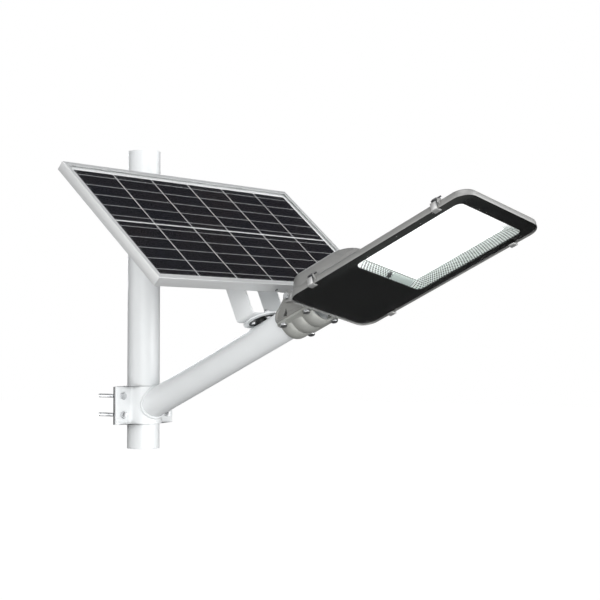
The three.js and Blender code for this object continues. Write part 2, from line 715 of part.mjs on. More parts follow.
function makeGlassStack() {
  const glass = slab(roundedShape(HEAD_LENGTH - 4, HEAD_WIDTH - 4, HEAD_CORNER - 2), 0, GLASS_THICK);
  const halfLength = WINDOW.length / 2;
  const halfWidth = WINDOW.width / 2;
  const windowPoints = roundedPoints(
    WINDOW.middle - halfLength, WINDOW.middle + halfLength, -halfWidth, halfWidth, WINDOW.corner,
  );
  const printOutline = roundedShape(HEAD_LENGTH - 5, HEAD_WIDTH - 5, HEAD_CORNER - 2.5);
  const print = ring(printOutline, windowPoints, GLASS_THICK + GAP, GLASS_THICK + GAP + 0.3);
  const gasketLow = GLASS_THICK + 2 * GAP + 0.3;
  const gasketInner = roundedPoints(-205, 205, -105, 105, 22);
  const gasket = ring(roundedShape(426, 226, HEAD_CORNER - 3), gasketInner, gasketLow, 6.3);
  return [
    part('lamp_glass', glass, 'clearGlass'),
    part('glass_print', print, 'blackPrint'),
    part('glass_gasket', gasket, 'rubber'),
  ];
}

/** The sloping tray between the window and the lens plate, open at both ends. */
function makeReflector() {
  const rim = (z, length, width, corner) => ({
    z,
    low: WINDOW.middle - length / 2,
    high: WINDOW.middle + length / 2,
    half: width / 2,
    corner,
  });
  const outside = loft([rim(4.9, 252, 196, 12), rim(13.4, 200, 158, 8)]);
  const inside = loft([rim(4.0, 253.5, 197.5, 11), rim(14, 194.5, 152.5, 6)]);
  return part('reflector_tray', cut(outside, inside), 'mirror');
}

function makeOptics() {
  const lensTop = LENS.low + LENS.thick;
  const plate = slab(roundedShape(LENS.length, LENS.width, 5, WINDOW.middle), LENS.low, lensTop);
  const board = slab(roundedShape(204, 162, 4, WINDOW.middle), lensTop + GAP, lensTop + GAP + 1.6);
  return [
    part('lens_plate', plate, 'lens'),
    part('led_board', board, 'board'),
  ];
}

/** Four round cells side by side under one shrink wrap. */
function makeBattery() {
  const radius = 9.2;
  const shape = new THREE.Shape();
  for (let i = 0; i < 4; i += 1) {
    shape.absarc(2 * radius * i, 0, radius, radians(200), radians(340), false);
  }
  for (let i = 3; i >= 0; i -= 1) {
    shape.absarc(2 * radius * i, 0, radius, radians(20), radians(160), false);
  }
  const pack = wall(shape, -92, -24, 4).translate(-188, 0, 18);
  return part('battery_pack', pack, 'batteryWrap');
}

function makeController() {
  const board = box([-195, 5, 14], [-120, 65, 15.6]);
  const coil = rod('z', 9, 15, 25, 16).translate(-180, 22, 0);
  const capacitor = rod('z', 5, 15, 27, 12).translate(-160, 24, 0);
  const chip = box([-150, 20, 15], [-136, 34, 18]);
  const terminals = box([-190, 50, 15], [-130, 62, 24]);
  const sink = box([-178, 38, 15], [-140, 44, 26]);
  const loaded = join(board, coil, capacitor, chip, terminals, sink);
  return part('charge_controller', loaded, 'greenBoard');
}

function makeHeadGland() {
  const start = -HALF_LENGTH;
  const nut = hexagon('x', 15, start - 6.5, start - GAP);
  const dome = rod('x', 6.6, start - 14, start - 5, 16);
  const neck = rod('x', 6, start - 3, start + 14);
  return part('cable_gland', join(nut, dome, neck).translate(0, 78, 18), 'blackPlastic');
}

/** A clip from the side: an eye for its screw, a flat leg, and a foot under the glass. */
function makeClip({ u, side, name }) {
  const leg = outline([
    [117.2, 15], [117.2, -GAP], [106.5, -GAP], [106.5, -1.6], [108.5, -2.5],
    [117.8, -2.5], [119.4, -1.2], [119.6, 15],
  ]);
  const halfWidth = CLIP_WIDTH / 2;
  const strip = bar(leg, u - halfWidth, u + halfWidth);
  const eye = rod('x', 3.3, u - halfWidth, u + halfWidth).translate(0, CLIP_PIN.v, CLIP_PIN.z);
  const bore = rod('x', 1.9, u - 20, u + 20, 10).translate(0, CLIP_PIN.v, CLIP_PIN.z);
  const clip = cut(join(strip, eye), bore);
  return part(`clip_${name}`, side < 0 ? mirrorY(clip) : clip, 'brightSteel');
}

function makeClipScrew({ u, side, name }) {
  const near = u - CLIP_WIDTH / 2 - GAP;
  const head = rod('x', 3, near - 1.8, near, 12);
  const shank = rod('x', 1.5, near - 1, u + CLIP_WIDTH / 2 + 5, 10);
  const screw = join(head, shank).translate(0, side * CLIP_PIN.v, CLIP_PIN.z);
  return part(`clip_screw_${name}`, screw, 'darkSteel');
}

// ---------------------------------------------------------------- assembly

const lamp = new THREE.Group();
const boltPlaces = clampBoltPlaces();
lamp.add(
  makePole(),
  makeClampHalf('clamp_front', 0),
  makeClampHalf('clamp_rear', Math.PI),
  ...boltPlaces.map(makeClampBolt),
  ...boltPlaces.map(makeClampNut),
);

const arm = new THREE.Group();
arm.position.z = ARM_BASE_Z;
arm.rotation.y = -radians(ARM_RISE);
arm.add(makeArmTube());
lamp.add(arm);

const bracket = new THREE.Group();
bracket.position.x = BRACKET_T;
bracket.add(makePedestal(), makeYoke(), makeTiltBolt(-1), makeTiltBolt(1));
bracket.add(...swivelBoltPlaces().map(makeSwivelBolt));
arm.add(bracket);

const panel = new THREE.Group();
panel.position.set(PANEL_X, 0, PANEL_Z);
panel.rotation.y = radians(PANEL_TILT);
panel.add(...makeFrameSides(), ...makeLaminate(), makeRail(-1), makeRail(1), ...makeJunctionBox());
lamp.add(panel);

const knuckle = new THREE.Group();
knuckle.rotation.x = -radians(HEAD_ROLL);
knuckle.add(makeKnuckleUpper(), makeSaddle(), ...saddleBoltPlaces().map(makeSaddleBolt));
knuckle.add(makeHeadPivotBolt(-1), makeHeadPivotBolt(1));
arm.add(knuckle);

const head = new THREE.Group();
head.position.set(HEAD_T, 0, FACE_Z);
head.add(makeHousing(), ...makeGlassStack(), makeReflector(), ...makeOptics());
head.add(makeBattery(), makeController(), makeHeadGland());
head.add(...clipPlaces().map(makeClip), ...clipPlaces().map(makeClipScrew));
knuckle.add(head);

export default lamp;
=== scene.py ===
# %% [markdown]
# # A solar street lamp, dressed for its close-up
#
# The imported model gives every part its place: pole, clamp, arm, panel bracket, panel,
# knuckle and lamp head. This lesson keeps those places, and gives each part the shape
# and the finish that a maker would see in the hand: rounded plate edges, a weld bead,
# threads, cast metal, glass, cells and a lit lens.

import json

import bmesh
import bpy
import numpy as np
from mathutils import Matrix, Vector


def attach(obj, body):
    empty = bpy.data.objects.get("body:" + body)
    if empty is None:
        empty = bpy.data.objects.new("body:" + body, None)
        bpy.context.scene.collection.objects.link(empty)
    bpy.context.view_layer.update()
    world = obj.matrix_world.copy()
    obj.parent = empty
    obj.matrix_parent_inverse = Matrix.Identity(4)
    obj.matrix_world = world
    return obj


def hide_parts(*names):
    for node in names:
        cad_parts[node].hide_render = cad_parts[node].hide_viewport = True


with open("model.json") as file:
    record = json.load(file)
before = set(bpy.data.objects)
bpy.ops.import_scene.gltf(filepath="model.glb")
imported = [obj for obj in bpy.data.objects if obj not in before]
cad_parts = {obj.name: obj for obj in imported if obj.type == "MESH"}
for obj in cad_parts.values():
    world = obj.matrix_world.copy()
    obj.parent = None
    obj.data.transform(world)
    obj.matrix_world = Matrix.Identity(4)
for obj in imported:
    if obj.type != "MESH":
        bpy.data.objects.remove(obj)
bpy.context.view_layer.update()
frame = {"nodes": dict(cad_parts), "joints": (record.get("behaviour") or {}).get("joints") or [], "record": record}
cad = frame["nodes"]
joints = {joint["name"]: joint for joint in frame["joints"]}

# %% [markdown]
# The lens is a long one, so that upright and sloping tubes keep their true widths. The
# camera stands lower than the lamp head and tips up by two degrees, which shows the
# underside of the head and the face of the panel at once.

# %% Camera
MM = 0.001


def in_scene(name, data):
    """A new object for its data, linked into the scene."""
    thing = bpy.data.objects.new(name, data)
    bpy.context.scene.collection.objects.link(thing)
    return thing


camera_data = bpy.data.cameras.new("camera")
camera_data.sensor_width = 36.0
camera_data.lens = 83.94
camera_data.clip_end = 60.0
camera = in_scene("camera", camera_data)
camera.location = (2.1495, -2.1254, 0.1162)
camera.rotation_euler = np.radians((92.06, 0.0, 38.95))
bpy.context.scene.camera = camera
bpy.context.scene.view_settings.view_transform = "Standard"
print("lens", camera_data.lens, "mm")

# %% [markdown]
# Most parts are straight in a frame of their own, and tilted in the world. So shapes are
# drawn in millimetres in that own frame, and one matrix carries them out. A joint of
# the record gives the frame's origin and one axis, and the crossed axes give the rest.

# %% Local frames
def unit(vector):
    """The vector divided by its own length."""
    vector = np.asarray(vector, float)
    return vector / np.linalg.norm(vector)


def local_frame(origin, first, second):
    """Origin in metres, and three unit axes: two given, the third their cross product."""
    first, second = unit(first), unit(second)
    return np.asarray(origin, float), np.array([first, second, np.cross(first, second)])


def corners(node):
    """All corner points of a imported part, in metres, as one array."""
    mesh = cad[node].data
    points = np.empty(len(mesh.vertices) * 3)
    mesh.vertices.foreach_get("co", points)
    return points.reshape(-1, 3)


def span(node, local):
    """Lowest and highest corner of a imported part, in millimetres in a local frame."""
    origin, axes = local
    points = (corners(node) - origin) @ axes.T / MM
    return points.min(0), points.max(0)


def widest_normal(node):
    """Normal of a part's largest flat face, from the areas of its triangles."""
    mesh = cad[node].data
    areas = np.array([face.area for face in mesh.polygons])
    return np.array(mesh.polygons[int(areas.argmax())].normal)


ACROSS = np.array([0.0, 1.0, 0.0])
POLE = local_frame((0, 0, 0), (1, 0, 0), ACROSS)
ARM = local_frame(joints["head_roll"]["pos_m"], joints["head_roll"]["axis"], ACROSS)
KNUCKLE = local_frame(ARM[0], ARM[1][0], joints["head_tilt"]["axis"])
glass_low, glass_high = span("lamp_glass", KNUCKLE)
head_middle = np.array([(glass_low[0] + glass_high[0]) / 2, 0.0, glass_low[2]])
HEAD = (KNUCKLE[0] + MM * head_middle @ KNUCKLE[1], KNUCKLE[1])
panel_normal = widest_normal("cell_sheet")
panel_normal = panel_normal * np.sign(panel_normal[2])
panel_down = np.cross(ACROSS, panel_normal)
PANEL = local_frame(corners("cell_sheet").mean(0), panel_down, ACROSS)
PANEL = (PANEL[0] + MM * span("cell_sheet", PANEL)[1][2] * PANEL[1][2], PANEL[1])
print("arm rises", round(float(np.degrees(np.arcsin(ARM[1][0][2]))), 2), "degrees")
print("panel slopes", round(float(np.degrees(np.arccos(panel_normal[2]))), 2), "degrees")

# %% [markdown]
# A skin is a pair: an array of points, and a list of faces. Everything here is one of
# three skins. A loft joins closed rings, a turned part carries a profile round an axis,
# and a plate is a drawn outline made thick with rounded edges. The signed volume of a
# closed skin tells whether its faces point out, and turns them if they don't.

# %% Skins
def faces_between(rows, columns, closed=True):
    """Quads of a grid of rows by columns; a closed one joins its last column to its first."""
    index = np.arange(rows * columns).reshape(rows, columns)
    here = index if closed else index[:, :-1]
    there = np.roll(index, -1, 1) if closed else index[:, 1:]
    quads = np.stack([here[:-1], there[:-1], there[1:], here[1:]], -1)
    return quads.reshape(-1, 4).tolist(), index


def volume(points, faces):
    """Signed volume: the sum over fan triangles of a . (b x c) / 6."""
    total = 0.0
    by_size = {}
    for face in faces:
        by_size.setdefault(len(face), []).append(face)
    for size, group in by_size.items():
        group = np.array(group)
        for k in range(1, size - 1):
            a, b, c = points[group[:, 0]], points[group[:, k]], points[group[:, k + 1]]
            total += np.einsum("ij,ij->", a, np.cross(b, c)) / 6
    return total


def outward(points, faces):
    """The same skin with all faces reversed if its volume came out negative."""
    if volume(points - points.mean(0), faces) < 0:
        faces = [face[::-1] for face in faces]
    return points, faces


def loft(rings):
    """A closed skin over a stack of rings of equal counts, with a face on each end."""
    rings = np.asarray(rings, float)
    faces, index = faces_between(*rings.shape[:2])
    faces += [index[0][::-1].tolist(), index[-1].tolist()]
    return outward(rings.reshape(-1, 3), faces)


def torus_loft(rings):
    """A skin over rings whose last joins the first again, as round a frame."""
    rings = np.asarray(rings, float)
    rows, columns = rings.shape[:2]
    faces, index = faces_between(rows + 1, columns)
    points = rings.reshape(-1, 3)
    faces = (np.array(faces) % (rows * columns)).tolist()
    return outward(points, faces)


def merge(*skins):
    """Several skins as one, each with its face numbers moved on past the last."""
    points, faces, start = [], [], 0
    for skin_points, skin_faces in skins:
        points.append(skin_points)
        faces += [[i + start for i in face] for face in skin_faces]
        start += len(skin_points)
    return np.concatenate(points), faces


def moved(skin, offset):
    """The skin shifted by an offset in its own millimetres."""
    return skin[0] + np.asarray(offset, float), skin[1]


def turned_to(skin, axes):
    """The skin with its x, y and z laid along three given directions."""
    return outward(skin[0] @ np.asarray(axes, float), skin[1])


ALONG_X = [[0, 1, 0], [0, 0, 1], [1, 0, 0]]

# %% [markdown]
# Outlines are flat arrays of points: arcs, rounded rectangles, and drawn corners made
# soft. A plate is an outline repeated at a few heights, and drawn in a little at the
# first and last ones, so that both its rims are round, as sheared and coated steel is.

# %% Outlines and plates
def circle(radius, count, start=0.0, stop=360.0, middle=(0, 0)):
    """Points on an arc: the middle plus radius times (cos, sin) of evenly spaced angles."""
    whole = abs(stop - start) >= 360
    angle = np.radians(np.linspace(start, stop, count, endpoint=not whole))
    return np.stack([np.cos(angle), np.sin(angle)], 1) * radius + np.asarray(middle, float)


def round_rectangle(low_x, high_x, low_y, high_y, radius, steps=10):
    """Four quarter circles, joined by the straight sides, counter-clockwise."""
    left, right = low_x + radius, high_x - radius
    front, back = low_y + radius, high_y - radius
    places = [(right, back), (left, back), (left, front), (right, front)]
    return np.concatenate([circle(radius, steps + 1, 90 * i, 90 * i + 90, place)
                           for i, place in enumerate(places)])


def soft_corners(points, radii, steps=5):
    """Each corner replaced by a parabola from radius before it to radius after it.

    With A and C on the two sides and P the corner, the curve is
    (1-k)^2 A + 2k(1-k) P + k^2 C for k from 0 to 1.
    """
    points = np.asarray(points, float)
    radii = np.broadcast_to(np.asarray(radii, float), len(points))[:, None]
    before = np.roll(points, 1, 0) - points
    after = np.roll(points, -1, 0) - points
    a = points + radii * before / np.linalg.norm(before, axis=1, keepdims=True)
    c = points + radii * after / np.linalg.norm(after, axis=1, keepdims=True)
    k = np.linspace(0, 1, steps)[None, :, None]
    curve = (1 - k) ** 2 * a[:, None] + 2 * k * (1 - k) * points[:, None] + k ** 2 * c[:, None]
    return curve.reshape(-1, 2)


def inset(outline, distance):
    """Each outline point moved inwards along the mean of its two side normals."""
    side = np.roll(outline, -1, 0) - outline
    length = np.maximum(np.linalg.norm(side, axis=1, keepdims=True), 1e-9)
    normal = np.stack([-side[:, 1], side[:, 0]], 1) / length
    mean = normal + np.roll(normal, 1, 0)
    mean /= np.maximum(np.linalg.norm(mean, axis=1, keepdims=True), 1e-9)
    lean = np.maximum((mean * normal).sum(1, keepdims=True), 0.5)
    return outline + mean * distance / lean


def counter_clockwise(outline):
    """The outline, reversed if the shoelace sum of its area is negative."""
    x, y = outline[:, 0], outline[:, 1]
    area = (x * np.roll(y, -1) - np.roll(x, -1) * y).sum()
    return outline if area > 0 else outline[::-1]


def plate(outline, low, high, edge=0.6, steps=4):
    """An outline made thick along z; a quarter circle of radius edge rounds its two rims."""
    outline = counter_clockwise(np.asarray(outline, float))
    angle = np.linspace(0, np.pi / 2, steps)
    rims = [(low + edge * (1 - np.sin(a)), edge * (1 - np.cos(a))) for a in angle[::-1]]
    rims += [(high - edge * (1 - np.sin(a)), edge * (1 - np.cos(a))) for a in angle]
    rings = [np.column_stack([inset(outline, d), np.full(len(outline), z)]) for z, d in rims]
    return loft(rings)


def turned(profile, sides):
    """Rings of a profile of (radius, height): radius * (cos, sin), at that height."""
    profile = np.asarray(profile, float)
    heights = np.broadcast_to(profile[:, None, 1:], (len(profile), sides, 1))
    return np.concatenate([profile[:, None, :1] * circle(1.0, sides)[None], heights], 2)


def sweep(path, sections, up):
    """Closed sections carried along a path.

    At each path point the tangent is the difference of its neighbours. The section's
    first coordinate runs along up x tangent, and its second along up made square to it.
    """
    path = np.asarray(path, float)
    tangent = np.gradient(path, axis=0)
    tangent /= np.linalg.norm(tangent, axis=1, keepdims=True)
    across = np.cross(np.broadcast_to(np.asarray(up, float), path.shape), tangent)
    across /= np.linalg.norm(across, axis=1, keepdims=True)
    lift = np.cross(tangent, across)
    sections = np.broadcast_to(np.asarray(sections, float),
                               (len(path),) + np.shape(sections)[-2:])
    return path[:, None] + sections[..., :1] * across[:, None] + sections[..., 1:] * lift[:, None]


print("helpers for lofts, plates, turned parts and sweeps are ready")

# %% [markdown]
# A piece is a skin that has become an object. Its points go out to world metres, so the
# object itself stays at the origin, unturned. Edges sharper than a set angle stay crisp,
# and all others shade smoothly. It rides on a body of the frame, has a finish slot, and
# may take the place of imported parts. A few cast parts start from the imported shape
# instead, which voxels even out and a relaxing modifier rounds.

# %% Pieces
def settle(piece, material, body, stands_for):
    """A finished piece given its finish, its body and the parts it stands for."""
    piece.data.materials.append(material)
    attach(piece, body)
    if stands_for:
        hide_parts(*stands_for)
    return piece


def make_piece(name, skin, local, material, body, stands_for=(), crisp=32.0, uv=None):
    """A skin carried out to the world: origin plus its points times the three axes."""
    origin, axes = local
    points, faces = skin
    mesh = bpy.data.meshes.new(name)
    mesh.from_pydata((origin + MM * points @ axes).tolist(), [], faces)
    mesh.validate()
    mesh.shade_smooth()
    mesh.set_sharp_from_angle(angle=np.radians(crisp))
    if uv is not None:
        corner = np.empty(len(mesh.loops), int)
        mesh.loops.foreach_get("vertex_index", corner)
        layer = mesh.uv_layers.new(name="UVMap")
        layer.data.foreach_set("uv", np.asarray(uv, float)[corner].ravel())
    return settle(in_scene(name, mesh), material, body, stands_for)


def store_values(piece, name, values):
    """One number for each point of a mesh, kept under a name for the material to read."""
    layer = piece.data.attributes.new(name, "FLOAT", "POINT")
    layer.data.foreach_set("value", np.asarray(values, float).ravel())


def casting(name, node, voxel, passes, material, body):
    """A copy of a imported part, remeshed in even cells and relaxed till its edges are round."""
    mesh = cad[node].data.copy()
    sculpt = bmesh.new()
    sculpt.from_mesh(mesh)
    bmesh.ops.remove_doubles(sculpt, verts=sculpt.verts, dist=1e-6)
    sculpt.to_mesh(mesh)
    sculpt.free()
    rough = in_scene(name + "_rough", mesh)
    remesh = rough.modifiers.new("even_cells", "REMESH")
    remesh.mode = "VOXEL"
    remesh.voxel_size = voxel * MM
    relax = rough.modifiers.new("relax", "SMOOTH")
    relax.factor = 0.5
    relax.iterations = passes
    depsgraph = bpy.context.evaluated_depsgraph_get()
    smooth_mesh = bpy.data.meshes.new_from_object(rough.evaluated_get(depsgraph))
    bpy.data.objects.remove(rough)
    smooth_mesh.name = name
    smooth_mesh.shade_smooth()
    smooth_mesh.materials.clear()
    print(name, len(smooth_mesh.polygons), "faces")
    return settle(in_scene(name, smooth_mesh), material, body, [node])


# %% [markdown]
# Three effects come back in many finishes, so each is a group of shader nodes with named
# sockets. Mottle drifts between two colours in soft clouds, as powder coat and cast
# metal do. Grain is the height of fine bumps, such as the orange peel of paint. Brushed
# is noise stretched along one direction, which reads as drawn or rolled metal.

# %% Shader groups
def new_group(name, inputs, outputs):
    """An empty node group with typed, named sockets and starting values."""
    group = bpy.data.node_groups.new(name, "ShaderNodeTree")
    for label, kind, value in inputs:
        socket = group.interface.new_socket(label, in_out="INPUT", socket_type="NodeSocket" + kind)
        if value is not None:
            socket.default_value = value
    for label, kind in outputs:
        group.interface.new_socket(label, in_out="OUTPUT", socket_type="NodeSocket" + kind)
    entry = group.nodes.new("NodeGroupInput")
    leave = group.nodes.new("NodeGroupOutput")
    return group, entry, leave


def wire(tree, source, target):
    """A link between two sockets."""
    tree.links.new(source, target)


def noise(tree, vector, scale, detail=2.0, roughness=0.5):
    """A noise texture fed by a vector; scale is a number or a socket."""
    node = tree.nodes.new("ShaderNodeTexNoise")
    node.inputs["Detail"].default_value = detail
    node.inputs["Roughness"].default_value = roughness
    wire(tree, vector, node.inputs["Vector"])
    if isinstance(scale, (int, float)):
        node.inputs["Scale"].default_value = scale
    else:
        wire(tree, scale, node.inputs["Scale"])
    return node.outputs["Fac"]


def math_node(tree, operation, first, second=None):
    """One arithmetic step on numbers or sockets."""
    node = tree.nodes.new("ShaderNodeMath")
    node.operation = operation
    for socket, value in zip(node.inputs, (first, second)):
        if isinstance(value, (int, float)):
            socket.default_value = value
        elif value is not None:
            wire(tree, value, socket)
    return node.outputs[0]


def times(tree, first, second):
    """The product of two numbers or sockets."""
    return math_node(tree, "MULTIPLY", first, second)


def remap(tree, value, low, high, to_low=0.0, to_high=1.0):
    """A value stretched from one range to another, and held inside it."""
    node = tree.nodes.new("ShaderNodeMapRange")
    limits = {"From Min": low, "From Max": high, "To Min": to_low, "To Max": to_high}
    for label, number in limits.items():
        node.inputs[label].default_value = number
    wire(tree, value, node.inputs["Value"])
    return node.outputs["Result"]


def mix_colour(tree, share, first, second):
    """Two colours mixed by a share; each may be a tuple or a socket."""
    node = tree.nodes.new("ShaderNodeMix")
    node.data_type = "RGBA"
    for place, value in (("Factor", share), (6, first), (7, second)):
        socket = node.inputs[place]
        if isinstance(value, (int, float)):
            socket.default_value = value
        elif isinstance(value, tuple):
            socket.default_value = (*value, 1.0)
        else:
            wire(tree, value, socket)
    return node.outputs[2]


def build_mottle():
    """Two colours mixed by 0.65 of a cloud noise plus 0.35 of a speckle noise."""
    group, entry, leave = new_group("mottle", [
        ("Vector", "Vector", None), ("Light Color", "Color", None), ("Deep Color", "Color", None),
        ("Scale", "Float", 12.0), ("Speckle Scale", "Float", 500.0),
    ], [("Color", "Color"), ("Mask", "Float")])
    clouds = noise(group, entry.outputs["Vector"], entry.outputs["Scale"], 3.0, 0.55)
    specks = noise(group, entry.outputs["Vector"], entry.outputs["Speckle Scale"], 2.0, 0.6)
    both = math_node(group, "ADD", times(group, clouds, 0.65), times(group, specks, 0.35))
    share = remap(group, both, 0.36, 0.64)
    colour = mix_colour(group, share, entry.outputs["Light Color"], entry.outputs["Deep Color"])
    wire(group, colour, leave.inputs["Color"])
    wire(group, share, leave.inputs["Mask"])
    return group


def build_grain():
    """A height: fine noise plus a share of broad noise."""
    group, entry, leave = new_group("grain", [
        ("Vector", "Vector", None), ("Fine Scale", "Float", 1200.0), ("Broad Scale", "Float", 90.0),
        ("Broad Share", "Float", 0.4),
    ], [("Height", "Float")])
    fine = noise(group, entry.outputs["Vector"], entry.outputs["Fine Scale"], 3.0, 0.6)
    broad = noise(group, entry.outputs["Vector"], entry.outputs["Broad Scale"], 2.0, 0.5)
    part = times(group, broad, entry.outputs["Broad Share"])
    height = math_node(group, "ADD", fine, part)
    wire(group, height, leave.inputs["Height"])
    return group


def build_brushed():
    """Noise of a vector that was first stretched by a density along each axis."""
    group, entry, leave = new_group("brushed", [
        ("Vector", "Vector", None), ("Density", "Vector", (900.0, 12.0, 900.0)),
    ], [("Value", "Float")])
    stretch = group.nodes.new("ShaderNodeVectorMath")
    stretch.operation = "MULTIPLY"
    wire(group, entry.outputs["Vector"], stretch.inputs[0])
    wire(group, entry.outputs["Density"], stretch.inputs[1])
    streaks = noise(group, stretch.outputs[0], 1.0, 3.0, 0.6)
    wire(group, remap(group, streaks, 0.3, 0.7), leave.inputs["Value"])
    return group


MOTTLE, GRAIN, BRUSHED = build_mottle(), build_grain(), build_brushed()
print("shader groups:", MOTTLE.name, GRAIN.name, BRUSHED.name)

# %% [markdown]
# A finish is a node material on the Principled shader. Paint, castings, plastic and
# rubber share one recipe, and drawn, rolled and plated metal share another. Patterns lie
# on Object coordinates, or on a UV map where they follow a bent surface, and a value
# stored on the mesh can say where a finish turns darker or brighter.

# %% Material helpers
def new_material(name, **settings):
    """A node material whose constant sockets are set by name on its Principled shader."""
    material = bpy.data.materials.new(name)
    material.use_nodes = True
    shader = material.node_tree.nodes["Principled BSDF"]
    for label, value in settings.items():
        shader.inputs[label.replace("_", " ")].default_value = value
    return material, material.node_tree, shader


def object_vector(tree, turn=(0, 0, 0)):
    """Object coordinates, turned by angles in degrees so that a pattern lies along a part."""
    coordinates = tree.nodes.new("ShaderNodeTexCoord")
    mapping = tree.nodes.new("ShaderNodeMapping")
    mapping.inputs["Rotation"].default_value = np.radians(turn)
    wire(tree, coordinates.outputs["Object"], mapping.inputs["Vector"])
    return mapping.outputs["Vector"]


def uv_vector(tree):
    """The piece's own UV map."""
    node = tree.nodes.new("ShaderNodeUVMap")
    node.uv_map = "UVMap"
    return node.outputs["UV"]


def attribute(tree, name):
    """A value stored at each corner of the mesh itself."""
    node = tree.nodes.new("ShaderNodeAttribute")
    node.attribute_name = name
    return node.outputs["Fac"]


def use_group(tree, group, vector, **values):
    """A shader group placed in a material with its own values."""
    node = tree.nodes.new("ShaderNodeGroup")
    node.node_tree = group
    wire(tree, vector, node.inputs["Vector"])
    for label, value in values.items():
        socket = node.inputs[label.replace("_", " ")]
        socket.default_value = (*value, 1.0) if socket.type == "RGBA" else value
    return node


def bump(tree, shader, height, distance, strength=1.0):
    """Height turned into a shading normal; distance is the bumps' depth in metres."""
    node = tree.nodes.new("ShaderNodeBump")
    node.inputs["Distance"].default_value = distance
    node.inputs["Strength"].default_value = strength
    wire(tree, height, node.inputs["Height"])
    wire(tree, node.outputs["Normal"], shader.inputs["Normal"])


def painted(name, light, deep, rough, depth, fine, broad_share=0.4, metallic=0.0, coat=0.0,
            specks=500.0):
    """Paint or a casting: mottled colour, roughness that follows it, and grain as bump."""
    material, tree, shader = new_material(
        name, Metallic=metallic, Coat_Weight=coat, Coat_Roughness=0.25)
    vector = object_vector(tree)
    mottle = use_group(tree, MOTTLE, vector, Light_Color=light, Deep_Color=deep,
                       Speckle_Scale=specks)
    wire(tree, mottle.outputs["Color"], shader.inputs["Base Color"])
    roughness = remap(tree, mottle.outputs["Mask"], 0, 1, rough - 0.05, rough + 0.06)
    wire(tree, roughness, shader.inputs["Roughness"])
    grain = use_group(tree, GRAIN, vector, Fine_Scale=fine, Broad_Share=broad_share)
    bump(tree, shader, grain.outputs["Height"], depth)
    return material


def metal(name, light, deep, rough, density, turn=(0, 0, 0), from_uv=False, metallic=1.0):
    """Drawn or rolled metal: brushed streaks in colour, roughness and bump."""
    material, tree, shader = new_material(name, Metallic=metallic)
    vector = uv_vector(tree) if from_uv else object_vector(tree, turn)
    streaks = use_group(tree, BRUSHED, vector, Density=density).outputs["Value"]
    clouds = noise(tree, vector, 30.0, 3.0)
    share = times(tree, streaks, remap(tree, clouds, 0.3, 0.7, 0.5, 1.0))
    wire(tree, mix_colour(tree, share, light, deep), shader.inputs["Base Color"])
    wire(tree, remap(tree, share, 0, 1, rough - 0.06, rough + 0.08), shader.inputs["Roughness"])
    bump(tree, shader, streaks, 0.00002, 0.6)
    return material


def past_limit(material, axis, low, high, turn=(0, 0, 0)):
    """Share from 0 to 1 as an object coordinate, taken without its sign, goes low to high."""
    tree = material.node_tree
    split = tree.nodes.new("ShaderNodeSeparateXYZ")
    wire(tree, object_vector(tree, turn), split.inputs[0])
    return remap(tree, math_node(tree, "ABSOLUTE", split.outputs[axis]), low, high)


def near_axis(material, middle, radius, turn):
    """Share of 1 where (X - middle)^2 + Y^2 is within radius^2, and 0 past it."""
    tree = material.node_tree
    split = tree.nodes.new("ShaderNodeSeparateXYZ")
    wire(tree, object_vector(tree, turn), split.inputs[0])
    squares = []
    for axis, centre in (("X", middle), ("Y", 0.0)):
        offset = math_node(tree, "SUBTRACT", split.outputs[axis], centre)
        squares.append(times(tree, offset, offset))
    edge = radius + 0.0005
    return remap(tree, math_node(tree, "ADD", *squares), edge ** 2, radius ** 2)


def overlay(material, share, colour):
    """A colour laid over the finish that is there, by a share."""
    tree = material.node_tree
    base = tree.nodes["Principled BSDF"].inputs["Base Color"]
    wire(tree, mix_colour(tree, share, base.links[0].from_socket, colour), base)


# %% [markdown]
# The real lamp wears few finishes. The tubes, the clamp and the bracket are white powder
# coat, which has a fine orange peel. The knuckle is a grey casting with a sandy skin,
# and the housing is the same metal with a smoother coat. The knuckle's saddle takes a
# lighter copy of the casting's grey, as painted light from below. Bolts are zinc-plated.
# Three places get painted shade: the end faces of the rear clamp plate, which lie in
# shadow beside the front plate, the hollow under the bracket's flange, and the small
# pocket in the knuckle's cheek.

# %% Painted and metal finishes
WHITE = ((0.855, 0.875, 0.88), (0.83, 0.85, 0.855), 0.36, 0.00006, 900.0, 0.5)
SANDY = (0.00016, 1100.0, 0.8)
ARM_TURN = (0, 24, 0)
PANEL_TURN = (0, -41.6, 0)
CLAMP_END = (0.0833, 0.0838)
FLANGE_HOLLOW = (0.0256, 0.0249)
HOLLOW_MIDDLE, HOLLOW_RADIUS = 0.3764, 0.027

white_paint = painted("white_powder_coat", *WHITE, coat=0.25)
shade_edge_paint = painted("white_paint_painted_shade_edge", *WHITE, coat=0.1)
# Painted shade: the rear plate's end faces go near black, for the shadow between the two clamp plates.
overlay(shade_edge_paint, past_limit(shade_edge_paint, "Y", *CLAMP_END), (0.07, 0.07, 0.07))
flange_shade_paint = painted("white_paint_painted_shade_below", *WHITE, coat=0.1)
# Painted shade: the pedestal goes near black in the hollow under its flange, where the shadow falls.
flange_shade = times(
    flange_shade_paint.node_tree,
    past_limit(flange_shade_paint, "Z", *FLANGE_HOLLOW, ARM_TURN),
    near_axis(flange_shade_paint, HOLLOW_MIDDLE, HOLLOW_RADIUS, ARM_TURN))
overlay(flange_shade_paint, flange_shade, (0.02, 0.022, 0.022))
weld_metal = painted("painted_weld", (0.85, 0.87, 0.875), (0.76, 0.78, 0.785),
                     0.42, 0.0002, 600.0, 0.7)

